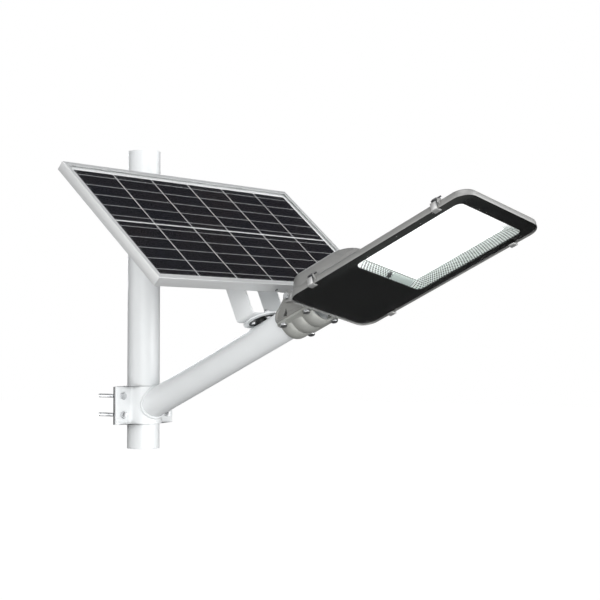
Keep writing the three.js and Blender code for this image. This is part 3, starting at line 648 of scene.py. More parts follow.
cast_grey = painted("sandy_grey_casting", (0.29, 0.29, 0.275), (0.235, 0.235, 0.223),
                    0.48, *SANDY, metallic=0.2, specks=900.0)
# Painted shade: the casting goes near black inside the cheek's pocket, for the shadow there.
overlay(cast_grey, attribute(cast_grey.node_tree, "pocket"), (0.035, 0.036, 0.034))
# Painted light: the saddle takes a lighter copy of the grey casting, for the light that falls on it from below.
saddle_lit_casting = painted("saddle_casting_painted_light", (0.42, 0.425, 0.40), (0.35, 0.355, 0.335),
                     0.46, *SANDY, metallic=0.2, specks=900.0)
housing_grey = painted("housing_grey_coat", (0.40, 0.40, 0.39), (0.355, 0.355, 0.347),
                       0.40, 0.00008, 1000.0, 0.5, metallic=0.5)

zinc = metal("zinc_plated_steel", (0.70, 0.71, 0.72), (0.52, 0.53, 0.54),
             0.34, (260.0, 260.0, 60.0))
clip_steel = metal("bright_clip_steel", (0.80, 0.80, 0.79), (0.66, 0.66, 0.65),
                   0.34, (60.0, 500.0, 500.0), ARM_TURN, metallic=0.75)
# Dark steel for the screws; on the clip hooks and screws its darkness also stands for the shade in the gaps round
# the clip's eye.
dark_steel = metal("dark_screw_steel_and_shade", (0.16, 0.165, 0.17), (0.10, 0.10, 0.105),
                   0.38, (400.0, 400.0, 400.0))
anodised = metal("satin_anodised_frame", (0.80, 0.81, 0.81), (0.75, 0.76, 0.76),
                 0.42, (6.0, 2600.0, 1.0), from_uv=True, metallic=0.5)
rail_metal = metal("mill_finish_rail", (0.66, 0.67, 0.67), (0.55, 0.56, 0.56),
                   0.42, (14.0, 900.0, 900.0), PANEL_TURN, metallic=0.9)
tinned = metal("tinned_ribbon", (0.78, 0.79, 0.80), (0.62, 0.63, 0.64),
               0.40, (500.0, 30.0, 500.0), metallic=0.4)

black_plastic = painted("black_moulded_plastic", (0.020, 0.020, 0.021), (0.014, 0.014, 0.015),
                        0.48, 0.00008, 1500.0)
rubber = painted("matt_rubber", (0.028, 0.028, 0.028), (0.02, 0.02, 0.02),
                 0.75, 0.0001, 1800.0)
white_laminate = painted("white_laminate", (0.90, 0.91, 0.91), (0.86, 0.87, 0.87),
                         0.55, 0.00005, 700.0, 0.8)
print("painted and metal finishes:", len(bpy.data.materials))

# %% [markdown]
# Glass over a panel or a lamp is seen by what it covers and by its shine. The sheets are
# nearly clear and keep a plain gloss, and the black print and the cells below carry a
# smooth coat of their own, because in the real laminate they touch the glass. A value
# stored on the print marks where a soft reflection of a light strip is painted into its
# ink as a lighter black.

# %% Glass, print and cells
FINGER_PITCH, FINGER_SHARE = 0.0019, 0.10
GLASS_IOR = 1.5


def clear_glass(name, tint, film):
    """A sheet that lets most light straight through, with a faint waviness in its shine."""
    material, tree, shader = new_material(
        name, Roughness=0.04, IOR=GLASS_IOR, Alpha=film, Transmission_Weight=1.0)
    vector = object_vector(tree)
    deep = tuple(0.9 * channel for channel in tint)
    wire(tree, mix_colour(tree, noise(tree, vector, 9.0), tint, deep), shader.inputs["Base Color"])
    bump(tree, shader, noise(tree, vector, 5.0, 1.0), 0.0004, 0.15)
    return material


def make_print():
    """Black ceramic ink under glass: 0.7 of a haze plus 0.3 of specks drift its black.

    A painted reflection of a light strip lightens it where a value on the mesh says.
    """
    material, tree, shader = new_material(
        "black_ceramic_print", Coat_Weight=0.25, Coat_Roughness=0.08, Specular_IOR_Level=0.15)
    vector = object_vector(tree)
    haze = noise(tree, vector, 7.0, 3.0)
    specks = noise(tree, vector, 1400.0)
    share = math_node(tree, "ADD", times(tree, haze, 0.7), times(tree, specks, 0.3))
    ink = mix_colour(tree, share, (0.004, 0.004, 0.004), (0.011, 0.0115, 0.011))
    drift = remap(tree, haze, 0.3, 0.7, 0.6, 1.0)
    # Painted reflection: the ink turns lighter where the mesh value says, for a light strip mirrored in the glass.
    reflection_share = times(tree, attribute(tree, "painted_reflection"), drift)
    ink_with_reflection = mix_colour(tree, reflection_share, ink, (0.052, 0.055, 0.053))
    wire(tree, ink_with_reflection, shader.inputs["Base Color"])
    wire(tree, remap(tree, haze, 0.3, 0.7, 0.18, 0.28), shader.inputs["Roughness"])
    bump(tree, shader, noise(tree, vector, 6.0, 1.0), 0.0003, 0.2)
    return material


def make_silicon():
    """A cell: blue-black crystal whose tint drifts, with silver fingers along its V.

    U is metres down the slope and V metres along the panel, so the fingers are the
    crests of a sine of V, and a slow noise moves the tint from cell to cell.
    """
    material, tree, shader = new_material(
        "silicon_cells", Coat_Weight=0.12, Coat_Roughness=0.05, Specular_IOR_Level=0.2)
    vector = uv_vector(tree)
    split = tree.nodes.new("ShaderNodeSeparateXYZ")
    wire(tree, vector, split.inputs[0])
    tint = remap(tree, noise(tree, vector, 7.0), 0.35, 0.65)
    crystal = mix_colour(tree, tint, (0.0048, 0.0052, 0.0085), (0.0090, 0.0070, 0.0085))
    turns = times(tree, split.outputs["Y"], 2 * np.pi / FINGER_PITCH)
    finger = remap(tree, math_node(tree, "SINE", turns), 0.965, 0.995)
    faint = times(tree, finger, FINGER_SHARE)
    wire(tree, mix_colour(tree, faint, crystal, (0.30, 0.31, 0.33)), shader.inputs["Base Color"])
    wire(tree, remap(tree, noise(tree, vector, 900.0), 0.3, 0.7, 0.22, 0.34),
         shader.inputs["Roughness"])
    bump(tree, shader, finger, 0.00003)
    return material


cover_glass = clear_glass("lamp_cover_glass", (0.80, 0.86, 0.84), 0.07)
black_print = make_print()
silicon = make_silicon()
print("glass, print and silicon are ready")

# %% [markdown]
# Inside the window sit the bright tray, the lens plate and the board. The lens glows, and
# each dome over a diode glows a little more, so the lit field isn't dead flat.

# %% Finishes inside the lamp
DIODES_PER_METRE = 83.0
DOT_PITCH = (0.0029, 0.0044)


def make_lit_lens():
    """A lit acrylic lens: strong even light, a shade more over each diode, every 12 mm.

    A Voronoi texture without randomness is a plain grid of cells, and the distance to a
    cell's middle gives the soft spot.
    """
    material, tree, shader = new_material("lit_lens", Roughness=0.18, Emission_Strength=1.25)
    grid = tree.nodes.new("ShaderNodeTexVoronoi")
    grid.inputs["Scale"].default_value = DIODES_PER_METRE
    grid.inputs["Randomness"].default_value = 0.0
    wire(tree, uv_vector(tree), grid.inputs["Vector"])
    near = remap(tree, grid.outputs["Distance"], 0.1, 0.6, 1.0, 0.0)
    glow = mix_colour(tree, near, (0.86, 0.90, 0.90), (1.0, 1.0, 1.0))
    plastic = mix_colour(tree, near, (0.90, 0.93, 0.92), (0.97, 0.98, 0.98))
    wire(tree, glow, shader.inputs["Emission Color"])
    wire(tree, plastic, shader.inputs["Base Color"])
    bump(tree, shader, near, 0.0005)
    return material


def make_reflector_finish():
    """Bright metallised plastic, pressed with dimples, with painted dark dots and a painted glow.

    U and V run in metres round the tray and up its slope. The product of two sines of
    them is a checker of soft spots, painted as dark dots for the dim reflections in the
    dimples. The tray glows a little everywhere, as painted light from the lens. Two values
    on the mesh say where the painted dots are strong, and where the painted glow is full.
    """
    material, tree, shader = new_material(
        "bright_reflector", Metallic=0.25, Roughness=0.22, Emission_Strength=1.0)
    split = tree.nodes.new("ShaderNodeSeparateXYZ")
    wire(tree, uv_vector(tree), split.inputs[0])
    waves = []
    for axis, pitch in zip(("X", "Y"), DOT_PITCH):
        turns = times(tree, split.outputs[axis], np.pi / pitch)
        waves.append(math_node(tree, "SINE", turns))
    spots = remap(tree, times(tree, *waves), -0.02, 0.28)
    # Painted reflection: dark dots in colour and glow, for the dim reflections in the dimples' facets.
    dark = times(tree, spots, attribute(tree, "dimpled"))
    haze = noise(tree, object_vector(tree), 60.0)
    bright = mix_colour(tree, haze, (0.62, 0.68, 0.65), (0.74, 0.79, 0.77))
    # Painted light: the tray glows, dimly everywhere and fully on the marked walls, for the lens's light falling
    # on them.
    glow = mix_colour(tree, attribute(tree, "lit"), (0.34, 0.37, 0.355), (1.0, 1.0, 1.0))
    wire(tree, mix_colour(tree, dark, bright, (0.03, 0.036, 0.033)), shader.inputs["Base Color"])
    wire(tree, mix_colour(tree, dark, glow, (0.02, 0.025, 0.022)),
         shader.inputs["Emission Color"])
    return material


lit_lens = make_lit_lens()
reflector_finish = make_reflector_finish()
end_plate_finish = painted("smooth_end_plate", (0.50, 0.57, 0.54), (0.44, 0.51, 0.48),
                           0.22, 0.00003, 500.0)
white_board = painted("white_board", (0.78, 0.80, 0.77), (0.70, 0.72, 0.70),
                      0.45, 0.00004, 900.0)
green_board = painted("green_board", (0.012, 0.11, 0.035), (0.008, 0.075, 0.024),
                      0.35, 0.00005, 700.0)
blue_wrap = painted("blue_shrink_wrap", (0.03, 0.17, 0.50), (0.02, 0.12, 0.38),
                    0.3, 0.00006, 300.0)

SLOT_FINISH = {
    "white_paint": white_paint, "cast_grey": cast_grey, "housing_grey": housing_grey,
    "bright_steel": zinc, "dark_steel": dark_steel, "aluminium": rail_metal,
    "clear_glass": cover_glass, "black_print": black_print, "silicon": silicon,
    "white_sheet": white_laminate, "black_plastic": black_plastic, "rubber": rubber,
    "reflector": reflector_finish, "lens": lit_lens, "board": white_board,
    "green_board": green_board, "battery": blue_wrap,
}
for row in frame["record"]["subparts"]:
    materials = cad[row["node"]].data.materials
    materials.clear()
    materials.append(SLOT_FINISH[row["material_slot"]])
print(len(SLOT_FINISH), "slots dressed on", len(cad), "nodes")

# %% [markdown]
# The pole and the arm are drawn tubes. A tube is a small closed profile, its wall with
# four soft corners, carried round the axis, so both ends show a real wall thickness.
# The arm's first ring isn't flat: each of its points slides along the arm until it
# meets the clamp, at the place where x squared plus y squared is the clamp's radius
# squared.

# %% Pole and arm
POLE_WALL = 3.0
CLAMP_PLAY, CLAMP_WALL = 0.3, 4.2
ARM_OUTER, ARM_INNER = 30.0, 27.5
ARM_PLAIN = 90.0
pole_low, pole_high = span("pole_section", POLE)
POLE_OUTER, POLE_INNER = pole_high[0], pole_high[0] - POLE_WALL
CLAMP_INNER = POLE_OUTER + CLAMP_PLAY
CLAMP_OUTER = CLAMP_INNER + CLAMP_WALL
wall_profile = soft_corners([(POLE_INNER, pole_low[2]), (POLE_OUTER, pole_low[2]),
                             (POLE_OUTER, pole_high[2]), (POLE_INNER, pole_high[2])], 0.7, 4)
make_piece("pole_tube", torus_loft(turned(wall_profile, 128)), POLE, white_paint,
           "pole", ["pole_section"])

rise = np.arcsin(ARM[1][0][2])
ring_angle = np.radians(np.arange(128) * 360 / 128)


def meet_clamp(radius, angle, clamp_radius):
    """How far along the arm each point of a ring lies when it touches the clamp's cylinder."""
    side, height = radius * np.cos(angle), radius * np.sin(angle)
    reach = np.sqrt(clamp_radius ** 2 - side ** 2)
    return (reach + height * np.sin(rise)) / np.cos(rise)


def arm_ring(radius, along):
    """A ring (along, radius * cos, radius * sin); along is one number, or one for each point."""
    return np.column_stack([np.broadcast_to(along, len(ring_angle)),
                            radius * np.cos(ring_angle), radius * np.sin(ring_angle)])


arm_end = span("arm_tube", ARM)[1][0]
seat_outer, seat_inner = (meet_clamp(radius, ring_angle, CLAMP_OUTER + 0.3)
                          for radius in (ARM_OUTER, ARM_INNER))
arm_rings = [arm_ring(radius, along) for radius, along in (
    (ARM_OUTER, seat_outer), (ARM_OUTER, ARM_PLAIN), (ARM_OUTER, arm_end - 0.5),
    (ARM_OUTER - 0.5, arm_end), (ARM_INNER, arm_end), (ARM_INNER, ARM_PLAIN),
    (ARM_INNER, seat_inner))]
make_piece("arm_tube_smooth", torus_loft(arm_rings), ARM, white_paint, "arm",
           ["arm_tube"])
print("arm", round(float(arm_end)), "mm long")

# %% [markdown]
# The arm is welded to the clamp all the way round. A weld bead is a row of frozen
# ripples, so it is a closed path with a round section whose radius swells and shrinks
# about sixty times, and leans a little to either side.

# %% Weld bead
BEAD_RADIUS, BEAD_OUT = 2.9, 0.6
bead_angle = np.radians(np.arange(480) * 360 / 480)
bead_path = np.column_stack([
    meet_clamp(ARM_OUTER + BEAD_OUT, bead_angle, CLAMP_OUTER + 0.2) + 0.4,
    (ARM_OUTER + BEAD_OUT) * np.cos(bead_angle),
    (ARM_OUTER + BEAD_OUT) * np.sin(bead_angle),
])
bead_path[:, 0] += 0.15 * np.sin(23 * bead_angle)
swell = 0.28 * np.abs(np.sin(30 * bead_angle)) + 0.12 * np.sin(7 * bead_angle + 1)


def closed_sweep(path, section, scale, up):
    """A section carried round a closed path; each ring is scaled by its own number."""
    padded = np.concatenate([path[-2:], path, path[:2]])
    section = scale[:, None, None] * section[None]
    section = np.concatenate([section[-2:], section, section[:2]])
    return sweep(padded, section, up)[2:-2]


bead_rings = closed_sweep(bead_path, circle(1.0, 14), BEAD_RADIUS + swell, (1.0, 0.0, 0.0))
make_piece("arm_weld_bead", torus_loft(bead_rings), ARM, weld_metal, "arm",
           crisp=80)
bead_steps = np.linalg.norm(np.diff(bead_path, axis=0), axis=1)
print("weld bead", round(float(bead_steps.sum())), "mm round")

# %% [markdown]
# Each half of the clamp is one bent plate: a half ring with a flat wing on each side,
# and a small bend where they meet. Its plan is one outline of arcs and lines. The
# outline made thick has rounded rims, as a coated steel edge has.

# %% Clamp halves
wing_inner, wing_outer, wing_end, bend = 0.8, 4.3, 84.5, 7.0
wing_start = 60
bend_x = wing_outer + bend
bend_y = np.sqrt((CLAMP_OUTER + bend) ** 2 - bend_x ** 2)
meet = np.degrees(np.arctan2(bend_y, bend_x))
mouth = np.degrees(np.arccos(wing_inner / CLAMP_INNER))
left_wing = soft_corners([(wing_inner, -wing_end), (wing_outer, -wing_end),
                          (wing_outer, -wing_start)], [0.9, 0.9, 0.1], 4)[:-2]
clamp_outline = np.concatenate([
    left_wing,
    circle(bend, 10, 180, 180 - meet, (bend_x, -bend_y)),
    circle(CLAMP_OUTER, 48, -meet, meet)[1:-1],
    circle(bend, 10, 180 + meet, 180, (bend_x, bend_y)),
    left_wing[::-1] * (1, -1),
    circle(CLAMP_INNER, 64, mouth, -mouth),
])
clamp_low, clamp_high = span("clamp_front", POLE)
for name, turn, finish in (("clamp_front", 1, white_paint), ("clamp_rear", -1, shade_edge_paint)):
    half = plate(clamp_outline * turn, clamp_low[2], clamp_high[2], 0.9, 5)
    make_piece(name + "_plate", half, POLE, finish, "arm", [name], crisp=50)
print("clamp", round(float(clamp_high[2] - clamp_low[2])), "mm tall")

# %% [markdown]
# A bolt is turned too, but its radius also depends on the angle. Round a hexagon the
# radius is half the width across flats divided by the cosine of the angle from the
# nearest flat, and a cone cuts its corners. Round a thread the radius dips in a saw
# wave of height minus the angle's share of one pitch, which makes a true helix.

# %% Bolts and nuts
SIDES = 48
TAN_30 = 0.577
M8 = {"flats": 13.0, "head": 5.3, "radius": 4.0}
M6 = {"flats": 10.0, "head": 3.9, "radius": 3.0}
bolt_angle = np.arange(SIDES) * 2 * np.pi / SIDES


def hexagon_radius(across_flats):
    """Half the flats' distance over the cosine of the angle from the nearest flat."""
    return across_flats / 2 / np.cos((bolt_angle + np.pi / 6) % (np.pi / 3) - np.pi / 6)


def round_rings(radii, heights):
    """Rings from a table of radii, one row a ring and one column an angle."""
    radii = np.broadcast_to(np.asarray(radii, float), (len(heights), SIDES))
    heights = np.broadcast_to(np.asarray(heights, float)[:, None], radii.shape)
    return np.stack([radii * np.cos(bolt_angle), radii * np.sin(bolt_angle), heights], -1)


def step_rings(*steps):
    """Round rings from (radius, height) pairs, in order."""
    radii, heights = np.array(steps, float).T
    return round_rings(radii[:, None], heights)


def hexagon_rings(across_flats, low, high, both_ends=False):
    """A hexagonal prism with its corners cut by cones at one end or both."""
    corner = hexagon_radius(across_flats)
    cone = across_flats / 2
    rise_to = 0.35 * (corner.max() - cone) / TAN_30
    cut = [np.minimum(corner, cone * 0.97), np.minimum(corner, cone * 1.05), corner]
    rings = cut if both_ends else [cut[0], corner]
    heights = [low, low + rise_to, low + 2 * rise_to] if both_ends else [low, low + 0.3]
    heights += [high - 2 * rise_to, high - rise_to, high]
    return round_rings(np.array(rings + cut[::-1]), heights)


def thread_rings(radius, low, high, pitch):
    """A helical thread: the radius dips by a saw wave of height less angle over a turn."""
    height = np.linspace(low, high, max(int((high - low) / pitch * 5), 2))
    phase = (height[:, None] / pitch - bolt_angle[None] / (2 * np.pi)) % 1.0
    dip = 0.55 * pitch * (1 - np.abs(2 * phase - 1))
    return round_rings(radius - dip, height)


def bolt_skin(flats, head, radius, length, pitch, plain):
    """A bolt along z: its head from 0 up, its plain neck and its thread below 0."""
    return loft(np.concatenate([
        step_rings((radius * 0.72, -length), (radius * 0.78, -length + 0.1)),
        thread_rings(radius, -length + 0.8, -plain, pitch),
        step_rings((radius, -plain + 0.2), (radius, 0.0)),
        hexagon_rings(flats, 0.0, head),
        step_rings((flats * 0.40, head - 0.25)),
    ]))


def nut_skin(flats, low, high, radius):
    """A nut along z with both faces chamfered and a plain bore."""
    bore = step_rings((radius + 0.6, high), (radius + 0.15, high - 0.6),
                      (radius + 0.15, low + 0.6), (radius + 0.6, low))
    return torus_loft(np.concatenate([hexagon_rings(flats, low, high, both_ends=True), bore]))


for side in ("left", "right"):
    for level in ("upper", "lower"):
        name = f"clamp_bolt_{side}_{level}"
        low, high = span(name, POLE)
        middle = (low + high) / 2
        head_foot = high[0] - M8["head"]
        bolt_length = head_foot - low[0]
        skin = turned_to(bolt_skin(**M8, length=bolt_length, pitch=1.25, plain=12.0), ALONG_X)
        make_piece(name + "_threaded", moved(skin, (head_foot, *middle[1:])), POLE, zinc, "arm",
                   [name], crisp=28)
        name = f"clamp_nut_{side}_{level}"
        low, high = span(name, POLE)
        skin = turned_to(nut_skin(M8["flats"], low[0], high[0], M8["radius"]), ALONG_X)
        make_piece(name + "_chamfered", moved(skin, (0, *middle[1:])), POLE, zinc, "arm",
                   [name], crisp=28)
print("clamp bolts", round(float(bolt_length)), "mm under the head")

# %% [markdown]
# The other bolts follow the same pattern: a head on one side, and on the bracket a nut
# on the other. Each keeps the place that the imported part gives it.

# %% Bracket, knuckle and pivot bolts
def place_bolt(node, local, direction, body, size, nut=None, pitch=1.25, plain=3.0):
    """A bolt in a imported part's place; direction is the local way its head points.

    The nut, if there is one, lies between two depths below the head.
    """
    low, high = span(node, local)
    axis = int(np.argmax(np.abs(direction)))
    sign = np.sign(direction[axis])
    tip, top = (low[axis], high[axis]) if sign > 0 else (high[axis], low[axis])
    length = abs(top - tip) - size["head"]
    skin = bolt_skin(**size, length=length, pitch=pitch, plain=min(plain, length - 2))
    if nut:
        skin = merge(skin, nut_skin(size["flats"], -nut[1], -nut[0], size["radius"]))
    third = np.asarray(direction, float)
    first = np.roll(np.abs(third), 1)
    skin = turned_to(skin, [first, np.cross(third, first), third])
    middle = (low + high) / 2
    middle[axis] = top - sign * size["head"]
    make_piece(node + "_threaded", moved(skin, middle), local, zinc, body,
               [node], crisp=28)


for number in (1, 2, 3):
    place_bolt(f"swivel_bolt_{number}", ARM, (0, 0, -1), "yoke", M6, (7.4, 12.4), 1.0, 1.0)
for side, sign in (("left", -1), ("right", 1)):
    place_bolt(f"tilt_bolt_{side}", ARM, (0, sign, 0), "yoke", M8, (6.9, 13.4), 1.25, 2.0)
    place_bolt(f"head_pivot_bolt_{side}", KNUCKLE, (0, sign, 0), "knuckle", {**M8, "head": 5.0})
    for end in ("rear", "front"):
        place_bolt(f"saddle_bolt_{side}_{end}", KNUCKLE, (0, 0, -1), "knuckle", M8)

# %% [markdown]
# The bracket is one strip of plate bent twice to a U, with round tops. Its middle line
# goes down one leg, round two bends and up the other, and a flat rounded section rides
# on it. Over the top the strip's half width is the square root of the radius squared
# less the height squared, which draws the half circle.

# %% Bracket yoke
STRIP, STRIP_BEND, STRIP_EDGE = 3.0, 4.5, 0.8
yoke_low, yoke_high = span("panel_yoke", ARM)
yoke_along = (yoke_low[0] + yoke_high[0]) / 2
half_width = (yoke_high[0] - yoke_low[0]) / 2
leg_y = yoke_high[1] - STRIP / 2
base_n = yoke_low[2] + STRIP / 2
pivot_n = yoke_high[2] - half_width
over = np.radians(np.linspace(87, 0, 16))
down_leg = np.linspace(pivot_n, base_n + STRIP_BEND, 10)[1:]
leg_n = np.concatenate([pivot_n + half_width * np.sin(over), down_leg])
left_leg = np.column_stack([np.full(len(leg_n), -leg_y), leg_n])
corner = circle(STRIP_BEND, 8, 180, 270, (-leg_y + STRIP_BEND, base_n + STRIP_BEND))[1:]
half_path = np.concatenate([left_leg, corner])
whole_path = np.concatenate([half_path, half_path[::-1] * (-1, 1)])
yoke_path = np.column_stack([np.full(len(whole_path), yoke_along), whole_path])
half_widths = np.full(len(half_path), half_width)
half_widths[:len(over)] *= np.cos(over)
yoke_sections = np.array([
    round_rectangle(-STRIP / 2, STRIP / 2, -half, half, min(STRIP_EDGE, 0.45 * half), 4)
    for half in np.concatenate([half_widths, half_widths[::-1]])
])
make_piece("panel_yoke_strip", loft(sweep(yoke_path, yoke_sections, (1.0, 0.0, 0.0))), ARM,
           white_paint, "yoke", ["panel_yoke"], crisp=40)
print("yoke legs", round(float(2 * leg_y)), "mm apart")

# %% [markdown]
# Cast and pressed parts have soft edges everywhere, and fillets where a rib meets a
# wall. Carrying a profile can't blend such joints, so these three start from a copy of
# the imported shape. Voxels even out its faces, and relaxing them rounds every edge by
# about a millimetre, as sand casting and die casting do. Each cheek of the knuckle has
# a small three-cornered pocket. Its shadow is painted dark by a value on the points, which
# is 1 where a point lies inside all three sides of the pocket's outline.

# %% Castings
POCKET = [(468.6, -8.0), (478.9, -12.6), (478.4, 4.8)]
CHEEK_FROM = 20
knuckle_upper = casting("knuckle_upper_cast", "knuckle_upper", 0.8, 2, cast_grey,
                        "knuckle")
casting("knuckle_saddle_cast", "knuckle_saddle", 0.8, 2, saddle_lit_casting, "knuckle")
casting("bracket_pedestal_cast", "bracket_pedestal", 0.6, 3, flange_shade_paint, "arm")

points = np.empty(3 * len(knuckle_upper.data.vertices))
knuckle_upper.data.vertices.foreach_get("co", points)
along, across, up = ((points.reshape(-1, 3) - KNUCKLE[0]) @ KNUCKLE[1].T / MM).T
pocket = np.where(np.abs(across) > CHEEK_FROM, 1.0, 0.0)
for (t0, n0), (t1, n1) in zip(POCKET, POCKET[1:] + POCKET[:1]):
    side = (t1 - t0) * (up - n0) - (n1 - n0) * (along - t0)
    pocket *= np.clip(0.7 + side / np.hypot(t1 - t0, n1 - n0), 0, 1)
store_values(knuckle_upper, "pocket", pocket)
print("points in the pocket", int((pocket > 0.5).sum()))

# %% [markdown]
# The panel's frame is four lengths of one extrusion, mitred at 45 degrees. Its section
# has a lip over the glass, a shelf under it and a wide foot. Both ends of a length are
# the same section, drawn in by each point's distance from the outer face, so four of
# them meet in clean corners. A small rubber plug with a hollow middle closes the drain
# hole in the lower length.

# %% Panel frame
FOOT, LIP, SHELF, WALL = 16, 10.5, 9, 1.6
SHELF_LOW, SHELF_HIGH, LIP_WALL = -2.6, -1.4, 1.2
MITRE_GAP = 0.15
panel_low, panel_high = span("panel_frame_lower", PANEL)
upper_side = span("panel_frame_upper", PANEL)[0][0]
half_down, half_across = panel_high[:2]
frame_top, frame_low = panel_high[2], panel_low[2]
frame_section = soft_corners([
    (0, frame_low), (FOOT, frame_low), (FOOT, frame_low + WALL), (WALL, frame_low + WALL),
    (WALL, SHELF_LOW), (SHELF, SHELF_LOW), (SHELF, SHELF_HIGH), (WALL, SHELF_HIGH),
    (WALL, frame_top - LIP_WALL), (LIP, frame_top - LIP_WALL), (LIP, frame_top), (0, frame_top),
], [0.5, 0.4, 0.4, *[0.3] * 7, 0.45, 0.9], 4)


def frame_length(length):
    """One mitred length along x: (along, inward, height) of each section point at each end."""
    stations = np.linspace(-1, 1, 9)[:, None]
    along = stations * (length / 2 - frame_section[None, :, 0] - MITRE_GAP)
    inward = np.broadcast_to(frame_section[:, 0], along.shape)
    height = np.broadcast_to(frame_section[:, 1], along.shape)
    return loft(np.stack([along, inward, height], -1))


def unroll(skin):
    """UV in metres: along the length, and round the section by running distance."""
    steps = np.linalg.norm(np.diff(frame_section, axis=0), axis=1)
    girth = np.concatenate([[0], np.cumsum(steps)])
    rows = len(skin[0]) // len(frame_section)
    return MM * np.column_stack([skin[0][:, 0], np.tile(girth, rows)])


FRAME_SIDES = {
    "panel_frame_lower": (2 * half_across, [[0, 1, 0], [-1, 0, 0]], (half_down, 0, 0)),
    "panel_frame_upper": (2 * half_across, [[0, -1, 0], [1, 0, 0]], (upper_side, 0, 0)),
    "panel_frame_left": (2 * half_down, [[1, 0, 0], [0, 1, 0]], (0, -half_across, 0)),
    "panel_frame_right": (2 * half_down, [[-1, 0, 0], [0, -1, 0]], (0, half_across, 0)),
}
for node, (length, (first, second), offset) in FRAME_SIDES.items():
    skin = frame_length(length)
    chart = unroll(skin)
    skin = moved(turned_to(skin, [first, second, (0, 0, 1)]), offset)
    make_piece(node + "_extrusion", skin, PANEL, anodised, "panel", [node],
               crisp=35, uv=chart)
drain = loft(step_rings((2.4, -0.8), (3.0, -0.6), (3.0, 0.2), (2.7, 0.45), (2.1, 0.5),
                        (1.7, 0.3), (1.5, -0.3), (1.2, -0.5)))
drain = moved(turned_to(drain, ALONG_X), (half_down, 4.0, frame_low + 5.5))
make_piece("panel_drain_plug", drain, PANEL, rubber, "panel", crisp=40)
print("panel", round(2 * half_down), "by", round(2 * half_across), "mm")

# %% [markdown]
# Under the glass lies a white sheet with twelve thin cells on it, six columns in two
# rows, and five silver ribbons across each cell. A ribbon is never laid quite straight,
# so its line wanders by about a tenth of a millimetre.

# %% Cells and ribbons
COLUMN_PITCH, ROW_PITCH = 105.7, 158.5
CELL_GAP, ROW_GAP = 2.2, 3.2
BACKING, CELL_TOP, RIBBON_MIDDLE = 0.2, 0.36, 0.40
RIBBON_WIDTH, RIBBON_HALF_THICK, RIBBON_PAST = 1.1, 0.06, 4
cell_low, cell_high = span("cell_sheet", PANEL)
sheet_floor = cell_low[2]
backing = plate(round_rectangle(cell_low[0], cell_high[0], cell_low[1], cell_high[1], 1.0, 3),
                sheet_floor, sheet_floor + BACKING, 0.05, 2)
make_piece("cell_backing", backing, PANEL, white_laminate, "panel",
           ["cell_sheet"])

half_x, half_y = (ROW_PITCH - ROW_GAP) / 2, (COLUMN_PITCH - CELL_GAP) / 2
cell = plate(round_rectangle(-half_x, half_x, -half_y, half_y, 1.2, 3),
             sheet_floor + BACKING, sheet_floor + CELL_TOP, 0.04, 2)
cell_skins = [moved(cell, (row * ROW_PITCH, column * COLUMN_PITCH, 0))
              for row in (-0.5, 0.5) for column in np.arange(6) - 2.5]
cells = merge(*cell_skins)
make_piece("silicon_cells", cells, PANEL, silicon, "panel", uv=MM * cells[0][:, :2])


def ribbon(x, reach, wander, seed):
    """A flat strip along y, from -reach to reach, whose line wanders by random steps."""
    draw = np.random.default_rng(seed)
    y = np.linspace(-reach, reach, 49)
    drift = np.interp(y, np.linspace(-reach, reach, 13), draw.normal(0, wander, 13))
    path = np.column_stack([x + drift, y, np.full(49, sheet_floor + RIBBON_MIDDLE)])
    section = round_rectangle(-RIBBON_WIDTH / 2, RIBBON_WIDTH / 2, -RIBBON_HALF_THICK,
                              RIBBON_HALF_THICK, 0.05, 2)
    return loft(sweep(path, section, (0.0, 0.0, 1.0)))


ribbons = [
    ribbon(row * ROW_PITCH + bar * ROW_PITCH / 5, 3 * COLUMN_PITCH + RIBBON_PAST, 0.10,
           10 * i + j)
    for i, row in enumerate((-0.5, 0.5)) for j, bar in enumerate((-2, -1, 0, 1, 2))
]
make_piece("cell_ribbons", merge(*ribbons), PANEL, tinned, "panel")
print(len(cell_skins), "cells and", len(ribbons), "ribbons")

# %% [markdown]
# The housing of the head is a shallow casting: a plate with a thin rim round the glass,
# a deep box at the back for the battery, and a lower chamber over the light with cooling
# fins. Each is a loft of rounded rectangles. The plate's loft starts at the ceiling of
# the light chamber, comes down its wall, crosses the recess for the glass, goes round
# the rim, and closes over the top, so it is one closed skin with a real rim. The deep
# box stands on a foot behind the chamber and on two cheeks beside it, so that nothing
# of it hangs into the light.

# %% Lamp housing
GLASS_PLAY = 2.0
HALF_LENGTH = (glass_high[0] - glass_low[0]) / 2 + GLASS_PLAY
HALF_WIDTH = (glass_high[1] - glass_low[1]) / 2 + GLASS_PLAY
CORNER = 30.0
lens_low, lens_high = span("lens_plate", HEAD)
WINDOW_MIDDLE = (lens_low[0] + lens_high[0]) / 2
CHAMBER = (WINDOW_MIDDLE - 121, WINDOW_MIDDLE + 106, 85, 10)
RECESS = (-204, 204, 104, 22)
CHEEK_OUT, FIN_PITCH = 101.3, 24
LUG_OUT, LUG_HALF = 48.05, 2.65


def at_height(outline, z):
    """A flat outline lifted to height z above the glass face."""
    return np.column_stack([outline, np.full(len(outline), z)])


def head_ring(z, low_x, high_x, half_y, radius):
    """A rounded rectangle in the head's frame, the same to both sides."""
    return at_height(round_rectangle(low_x, high_x, -half_y, half_y, radius, 12), z)


def rim_ring(z, inward):
    """The housing's own outline, drawn in by a distance."""
    return head_ring(z, inward - HALF_LENGTH, HALF_LENGTH - inward, HALF_WIDTH - inward,
                     CORNER - inward)


def head_loft(*rows):
    """A loft of head rings from rows of (z, low x, high x, half width, corner radius)."""
    return loft([head_ring(*row) for row in rows])


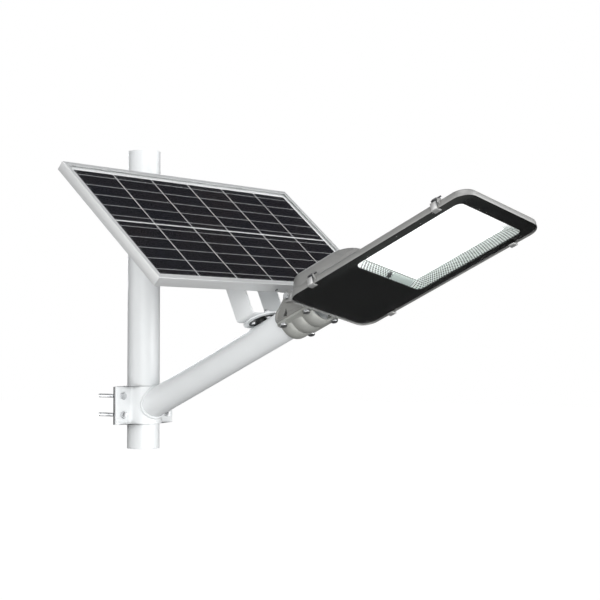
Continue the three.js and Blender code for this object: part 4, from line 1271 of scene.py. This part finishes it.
RIM = ((6.6, 1.0), (0.5, 1.0), (0.15, 0.9), (0.0, 0.7), (0.0, 0.5), (0.15, 0.2), (0.6, 0.02),
       (2.0, 0.0), (9.6, 0.1), (10.6, 0.4), (11.8, 1.1), (12.9, 2.3), (13.8, 4.1), (14.3, 6.5),
       (14.6, 12.0))
COVER = ((14.7, 197, 99, 23), (16.0, 196, 98, 22), (19.2, 194, 96, 21), (21.2, 192, 94, 19),
         (22.2, 189, 91, 16), (22.4, 185, 87, 13))
housing_plate = loft([
    head_ring(19.4, *CHAMBER), head_ring(11.8, *CHAMBER),
    head_ring(11.8, *RECESS), head_ring(6.6, *RECESS),
    *[rim_ring(z, inward) for z, inward in RIM],
    *[head_ring(z, -60, high, half, radius) for z, high, half, radius in COVER],
])
box_foot = head_loft((12.2, -214.6, -57, 114.8, 39), (20.0, -214.6, -57, 114.7, 41))
cheek = head_loft((12.2, -90, -26, 13.4, 2), (20.0, -90, -34, 13.3, 2))
driver_box = head_loft(
    (19.6, -214.6, -33, 114.7, 41), (25.0, -214.4, -39, 114.6, 42),
    (33.0, -214.0, -46, 114.2, 42), (36.5, -213.2, -49, 113.3, 41.5),
    (39.0, -211.6, -52.5, 111.6, 40), (40.6, -209.0, -56, 109.0, 38),
    (41.3, -206.0, -60, 106.0, 35), (41.5, -203.0, -63, 103.0, 32))
fin = head_loft((20.0, -52, 184, 2.1, 2.0), (26.6, -52, 178.5, 1.5, 1.4),
                (27.6, -51.6, 177, 1.1, 1.0), (28.0, -51, 176, 0.6, 0.5))
fins = [moved(fin, (0, step * FIN_PITCH, 0)) for step in range(-3, 4)]

pivot = (np.array(joints["head_tilt"]["pos_m"]) - HEAD[0]) @ HEAD[1].T / MM
lug_outline = np.concatenate([
    [(-HALF_LENGTH + 3, pivot[2] - 28), (-HALF_LENGTH + 3, pivot[2] - 16.5)],
    circle(12.0, 24, 60, 240, (pivot[0], pivot[2])),
])
lug = turned_to(plate(lug_outline, -LUG_HALF, LUG_HALF, 0.8), [(1, 0, 0), (0, 0, 1), (0, -1, 0)])
lugs = [moved(lug, (0, sign * LUG_OUT, 0)) for sign in (-1, 1)]

clip_places = {}
for end in ("rear", "front"):
    for side, sign in (("left", -1), ("right", 1)):
        low, high = span(f"clip_{end}_{side}", HEAD)
        clip_places[f"{end}_{side}"] = ((low[0] + high[0]) / 2, sign, (high[0] - low[0]) / 2)
SCREW_V, SCREW_Z = 119.6, 15.5
boss_outline = soft_corners([
    (112, 3), (SCREW_V - 1.5, 3), (SCREW_V + 1.6, 8), (SCREW_V + 3.4, SCREW_Z - 2),
    (SCREW_V + 2.2, SCREW_Z + 1.4), (112, SCREW_Z + 1.8)], [0.4, 1, 2, 2, 1.2, 0.4])
bosses = [moved(turned_to(plate(boss_outline * (sign, 1), 0, 2.6), ALONG_X),
                (u + 1.45 * half + 1.5, 0, 0)) for u, sign, half in clip_places.values()]
housing = merge(housing_plate, box_foot, moved(cheek, (0, CHEEK_OUT, 0)),
                moved(cheek, (0, -CHEEK_OUT, 0)), driver_box, *fins, *lugs, *bosses)
make_piece("lamp_housing_casting", housing, HEAD, housing_grey, "head",
           ["lamp_housing"], crisp=34)
print("head", round(2 * HALF_LENGTH), "by", round(2 * HALF_WIDTH), "mm")

# %% [markdown]
# The glass is a plain plate with ground edges, and the black print behind it is a thin
# ring with a window. Both rings of the print have the same number of points, so one
# loft that closes on itself makes it. Along its left edge a painted reflection makes the
# ink a shade lighter.

# %% Lamp glass and its print
GLASS_INSET, PRINT_INSET, WINDOW_CORNER = 1.2, 1.4, 12.0
WINDOW_EDGES = (WINDOW_MIDDLE - 128.5, WINDOW_MIDDLE + 118.0, -89.0, 96.0)
glass_x, glass_y = HALF_LENGTH - GLASS_INSET, HALF_WIDTH - GLASS_INSET
glass_outline = round_rectangle(-glass_x, glass_x, -glass_y, glass_y, CORNER - GLASS_INSET, 14)
face_low, face_high = span("lamp_glass", HEAD)
make_piece("lamp_glass_plate", plate(glass_outline, face_low[2], face_high[2], 0.5), HEAD,
           cover_glass, "head", ["lamp_glass"], crisp=50)

print_low, print_high = (corner[2] for corner in span("glass_print", HEAD))
window_outline = round_rectangle(*WINDOW_EDGES, WINDOW_CORNER, 12)
print_skin = torus_loft([
    rim_ring(print_low, PRINT_INSET), rim_ring(print_high, PRINT_INSET),
    at_height(window_outline, print_high), at_height(window_outline, print_low),
])
print_piece = make_piece("glass_print_ring", print_skin, HEAD, black_print, "head",
                         ["glass_print"], crisp=50)
print_u, print_v = print_skin[0][:, 0], print_skin[0][:, 1]
# Painted reflection: a lighter band of ink along the left edge, for a reflected light strip.
painted_reflection = np.clip((-80 - print_v) / 12, 0, 1) * np.clip((print_u + 190) / 180, 0.15, 1)
store_values(print_piece, "painted_reflection", painted_reflection)
print("print ring", len(print_skin[1]), "faces")

# %% [markdown]
# Inside the window a bright tray slopes up to the lens. Its walls are pressed with small
# dimples, a little over four millimetres apart. The tray is a grid of running distance
# round the window by share of the slope, and the dimples are the product of two sines
# of those two distances. The UV map holds the same two distances for the painted dark
# dots of the finish, drawn out on the wall next to the battery box. The whole tray glows
# a little, as painted light from the lens. Two walls lie full in that light and are painted
# plain white: "lit" marks them, and "dimpled" marks the others, where the dots show.

# %% Reflector tray
DIMPLE, DIMPLE_DEPTH = 4.4, 0.12
FOOT_RADIUS, TOP_RADIUS = 12, 7
PER_SIDE, UP_SLOPE = 230, 40
TRAY_FOOT = (WINDOW_MIDDLE - 131, WINDOW_MIDDLE + 125.5, -97.5, 98.5)
TRAY_TOP = (WINDOW_MIDDLE - 115.5, WINDOW_MIDDLE + 98, -77, 73)
tray_low, tray_high = span("reflector_tray", HEAD)
foot_z, top_z = tray_low[2] + 0.1, tray_high[2] - 0.6


def dense_rectangle(z, edges, radius):
    """A rounded rectangle walked so that each side with its corner has as many points."""
    outline = round_rectangle(*edges, radius, 8)
    closed = np.concatenate([outline, outline[:1]])
    run = np.concatenate([[0], np.cumsum(np.linalg.norm(np.diff(closed, axis=0), axis=1))])
    marks = run[[0, 9, 18, 27, 36]]
    at = np.concatenate([np.linspace(marks[i], marks[i + 1], PER_SIDE, endpoint=False)
                         for i in range(4)])
    walked = np.column_stack([np.interp(at, run, closed[:, i]) for i in range(2)])
    return at_height(walked, z), at


foot_ring, walk = dense_rectangle(foot_z, TRAY_FOOT, FOOT_RADIUS)
top_ring, _ = dense_rectangle(top_z, TRAY_TOP, TOP_RADIUS)
share = np.linspace(0, 1, UP_SLOPE)[:, None]
slope_run = share * np.linalg.norm(top_ring - foot_ring, axis=1)
dimples = np.abs(np.sin(np.pi * walk / DIMPLE)) * np.abs(np.sin(np.pi * slope_run / DIMPLE))
tray = foot_ring + share[..., None] * (top_ring - foot_ring)
tray[..., 2] += DIMPLE_DEPTH * dimples
faces, _ = faces_between(*tray.shape[:2])
drawn_out = np.where(tray[..., 0] < WINDOW_MIDDLE - 112, 0.72, 1.0)
chart = MM * np.stack([walk * drawn_out, slope_run], -1).reshape(-1, 2)
tray_piece = make_piece("reflector_tray_dimpled", (tray.reshape(-1, 3), faces), HEAD,
                        reflector_finish, "head", ["reflector_tray"],
                        crisp=70, uv=chart)
from_middle, across = tray[..., 0] - WINDOW_MIDDLE, tray[..., 1]
far_end = np.clip((from_middle - 90) / 12, 0, 1) * np.clip((78 - across) / 26, 0, 1)
near_end = np.clip((-104 - from_middle) / 8, 0, 1) * np.clip((-10 - across) / 60, 0, 1)
left_side = np.clip((-72 - across) / 10, 0, 1)
# Painted light: these values say where the tray's painted glow is full and where its painted dark dots show.
store_values(tray_piece, "lit", np.clip(far_end + 0.5 * near_end + left_side, 0, 1))
store_values(tray_piece, "dimpled", 1 - np.clip(far_end + left_side, 0, 1))
print("reflector", len(faces), "faces")

# %% [markdown]
# On the wall next to the battery box a smooth plate is let in, and beside it the lead of
# the board comes through in a small plug. Both are drawn flat and then tipped to the
# slope of the wall.

# %% End plate and plug
wall_foot = np.array([TRAY_FOOT[0], 0, foot_z])
up_wall = unit(np.array([TRAY_TOP[0], 0, top_z]) - wall_foot)
wall_axes = [up_wall, (0, -1, 0), np.cross(up_wall, (0, -1, 0))]
end_plate = plate(round_rectangle(2.6, 16.2, -68, -11, 1.2, 4), 0.4, 1.1, 0.25, 3)
plug = merge(
    plate(round_rectangle(3.0, 12.5, -6.5, 1.5, 1.2, 4), 0.3, 2.6, 0.5, 3),
    plate(round_rectangle(5.0, 16.0, -4.4, -0.8, 1.0, 4), 0.4, 3.6, 0.5, 3),
)
make_piece("reflector_end_plate", moved(turned_to(end_plate, wall_axes), wall_foot), HEAD,
           end_plate_finish, "head", crisp=50)
make_piece("board_lead_plug", moved(turned_to(plug, wall_axes), wall_foot), HEAD,
           black_plastic, "head", crisp=40)
print("the wall leans", round(float(np.degrees(np.arcsin(up_wall[2])))), "degrees")

# %% [markdown]
# The lens plate is a height field: a low dome over each diode, twelve millimetres apart.
# Each dome is a circle's cap, one minus the squared distance to its middle, held at
# zero between domes. Solidify gives the sheet its thickness.

# %% Lens plate
DOME_PITCH, DOME_HEIGHT, LENS_SKIN = 12.0, 1.1, 1.2
LENS_REACH = 18.5
u_line = np.linspace(lens_low[0] - LENS_REACH, lens_high[0], 177)
v_line = np.linspace(lens_low[1], lens_high[1], 127)
v_grid, u_grid = np.meshgrid(v_line, u_line)
from_u = (u_grid - WINDOW_MIDDLE + DOME_PITCH / 2) % DOME_PITCH - DOME_PITCH / 2
from_v = (v_grid + DOME_PITCH / 2) % DOME_PITCH - DOME_PITCH / 2
dome = np.clip(1 - (from_u ** 2 + from_v ** 2) / (0.42 * DOME_PITCH) ** 2, 0, 1)
dome *= (np.abs(u_grid - WINDOW_MIDDLE) < 90) & (np.abs(v_grid) < 66)
lens_face = lens_low[2] + LENS_SKIN - DOME_HEIGHT * dome
lens_points = np.stack([u_grid, v_grid, lens_face], -1).reshape(-1, 3)
faces, _ = faces_between(*u_grid.shape, closed=False)
lens = make_piece("lens_plate_domed", (lens_points, faces), HEAD, lit_lens, "head",
                  ["lens_plate"], crisp=60, uv=MM * (lens_points[:, :2] - (WINDOW_MIDDLE, 0)))
for sheet, thickness in ((tray_piece, 0.5), (lens, 1.4)):
    wall = sheet.modifiers.new("wall", "SOLIDIFY")
    wall.thickness = thickness * MM
    faces_up = sheet.data.polygons[0].normal.dot(Vector(HEAD[1][2])) > 0
    wall.offset = 1.0 if faces_up else -1.0
print("lens", len(faces), "faces")

# %% [markdown]
# Four clips hold the glass. The bright part of each is a bent strip: a straight leg down
# the side, and a short foot under the glass. At its top a darker hook curls round a
# socket screw, on which it swings; the dark steel of hook and screw also stands for the
# shade in the gaps round the clip's eye. Each side view is one closed outline, made
# thick along the head, and mirrored for the other side.

# %% Clips and their screws
leg = soft_corners([
    (117.25, 13.4), (117.25, -0.3), (106.5, -0.3), (106.5, -1.6), (108.6, -3.0),
    (118.2, -3.0), (120.3, -0.9), (120.3, 13.4),
], [0.2, 0.2, 0.3, 0.4, 1.0, 1.6, 1.6, 0.8])
neck = soft_corners([(117.6, 9.5), (119.8, 9.5), (120.6, 15.0), (117.3, 15.0)], 0.2, 3)
eye = circle(2.7, 32, middle=(SCREW_V, SCREW_Z))
socket = hexagon_radius(1.8)
screw_skin = turned_to(loft(np.concatenate([
    step_rings((1.45, -20.0), (1.45, 0.0), (1.7, 0.0), (1.9, 0.25), (1.9, 1.3), (1.7, 1.65),
               (1.4, 1.8)),
    round_rings(np.array([socket, socket]), [1.8, 0.9]),
])), [(0, 1, 0), (0, 0, -1), (-1, 0, 0)])
for name, (u, sign, half) in clip_places.items():
    body, near = f"clip_{name}", 0.1 * half
    strip = plate(leg * (sign, 1), -half, half, 0.5)
    hook = merge(plate(neck * (sign, 1), near, 1.25 * half, 0.4, 3),
                 plate(eye * (sign, 1), near, 1.45 * half, 0.5))
    screw = moved(screw_skin, (u - near, sign * SCREW_V, SCREW_Z))
    make_piece(f"clip_{name}_bent", moved(turned_to(strip, ALONG_X), (u, 0, 0)), HEAD,
               clip_steel, body, [body], crisp=40)
    make_piece(f"clip_hook_{name}", moved(turned_to(hook, ALONG_X), (u, 0, 0)), HEAD,
               dark_steel, body, crisp=40)
    make_piece(f"clip_screw_{name}_socket", screw, HEAD, dark_steel, "head",
               [f"clip_screw_{name}"], crisp=30)
print(len(clip_places), "clips")

# %% [markdown]
# The lamp hangs in the air, held by its pole, so the floor lies far below it. Where the
# camera looks past the lamp, world and floor are one pale white. For the light that
# falls on the lamp, the world is a tent that is bright on the near side and dim behind,
# because black glass and dark cells only look deep when they mirror something dim.

# %% Floor
FLOOR_REACH, FLOOR_DEPTH = 40.0, -1.8
floor_mesh = bpy.data.meshes.new("floor")
floor_mesh.from_pydata([(FLOOR_REACH * x, FLOOR_REACH * y, FLOOR_DEPTH)
                        for x, y in ((-1, -1), (1, -1), (1, 1), (-1, 1))], [], [(0, 1, 2, 3)])
floor = in_scene("floor", floor_mesh)
floor_material, tree, shader = new_material(
    "pale_floor", Roughness=0.9, Emission_Color=(1, 1, 1, 1))
light_path = tree.nodes.new("ShaderNodeLightPath")
dull = mix_colour(tree, noise(tree, object_vector(tree), 2.0),
                  (0.060, 0.060, 0.060), (0.050, 0.050, 0.050))
wire(tree, dull, shader.inputs["Base Color"])
wire(tree, light_path.outputs["Is Camera Ray"], shader.inputs["Emission Strength"])
floor_mesh.materials.append(floor_material)
print("floor", FLOOR_DEPTH, "m down")

# %% [markdown]
# Seven soft boxes light the lamp, as a studio would: windows to the left and in front for
# the panel's face and the tubes, a ceiling, two low ones for the undersides, and two
# more for the right side and the back. Large sources give white paint its slow shading.

# %% Light and world
LAMP_MIDDLE = Vector((0.35, 0.0, 0.25))
WHITE_LIGHT = (1, 1, 1)
SOFT_BOXES = {
    "left_window": ((-0.6, -3.0, 1.0), 2.4, 26, (1.0, 0.99, 0.98)),
    "front_window": ((2.5, -2.9, 0.9), 2.4, 52, WHITE_LIGHT),
    "ceiling": ((0.9, -0.4, 3.2), 2.4, 28, WHITE_LIGHT),
    "low_front": ((2.0, -1.6, -1.4), 1.8, 44, WHITE_LIGHT),
    "right_window": ((2.7, 1.8, 1.5), 2.2, 40, WHITE_LIGHT),
    "right_low": ((3.2, 0.9, -0.3), 1.8, 42, WHITE_LIGHT),
    "back_fill": ((-2.2, 1.6, 1.2), 1.8, 36, (0.96, 0.98, 1.0)),
}
for name, (place, size, power, colour) in SOFT_BOXES.items():
    data = bpy.data.lights.new(name, "AREA")
    data.size, data.energy, data.color = size, power, colour
    light = in_scene(name, data)
    light.location = place
    light.rotation_euler = (LAMP_MIDDLE - Vector(place)).to_track_quat("-Z", "Y").to_euler()

world = bpy.data.worlds.new("studio")
world.use_nodes = True
bpy.context.scene.world = world
tree = world.node_tree
direction = tree.nodes.new("ShaderNodeTexCoord")
toward = tree.nodes.new("ShaderNodeVectorMath")
toward.operation = "DOT_PRODUCT"
toward.inputs[1].default_value = (0.75, -0.62, 0.2)
wire(tree, direction.outputs["Generated"], toward.inputs[0])
tent = mix_colour(tree, remap(tree, toward.outputs["Value"], -0.3, 0.9),
                  (0.045, 0.045, 0.050), (0.50, 0.51, 0.52))
light_path = tree.nodes.new("ShaderNodeLightPath")
wire(tree, mix_colour(tree, light_path.outputs["Is Camera Ray"], tent, (1.0, 1.0, 1.0)),
     tree.nodes["Background"].inputs["Color"])
print(len(SOFT_BOXES), "soft boxes")

# %% The last line
bpy.context.view_layer.update()
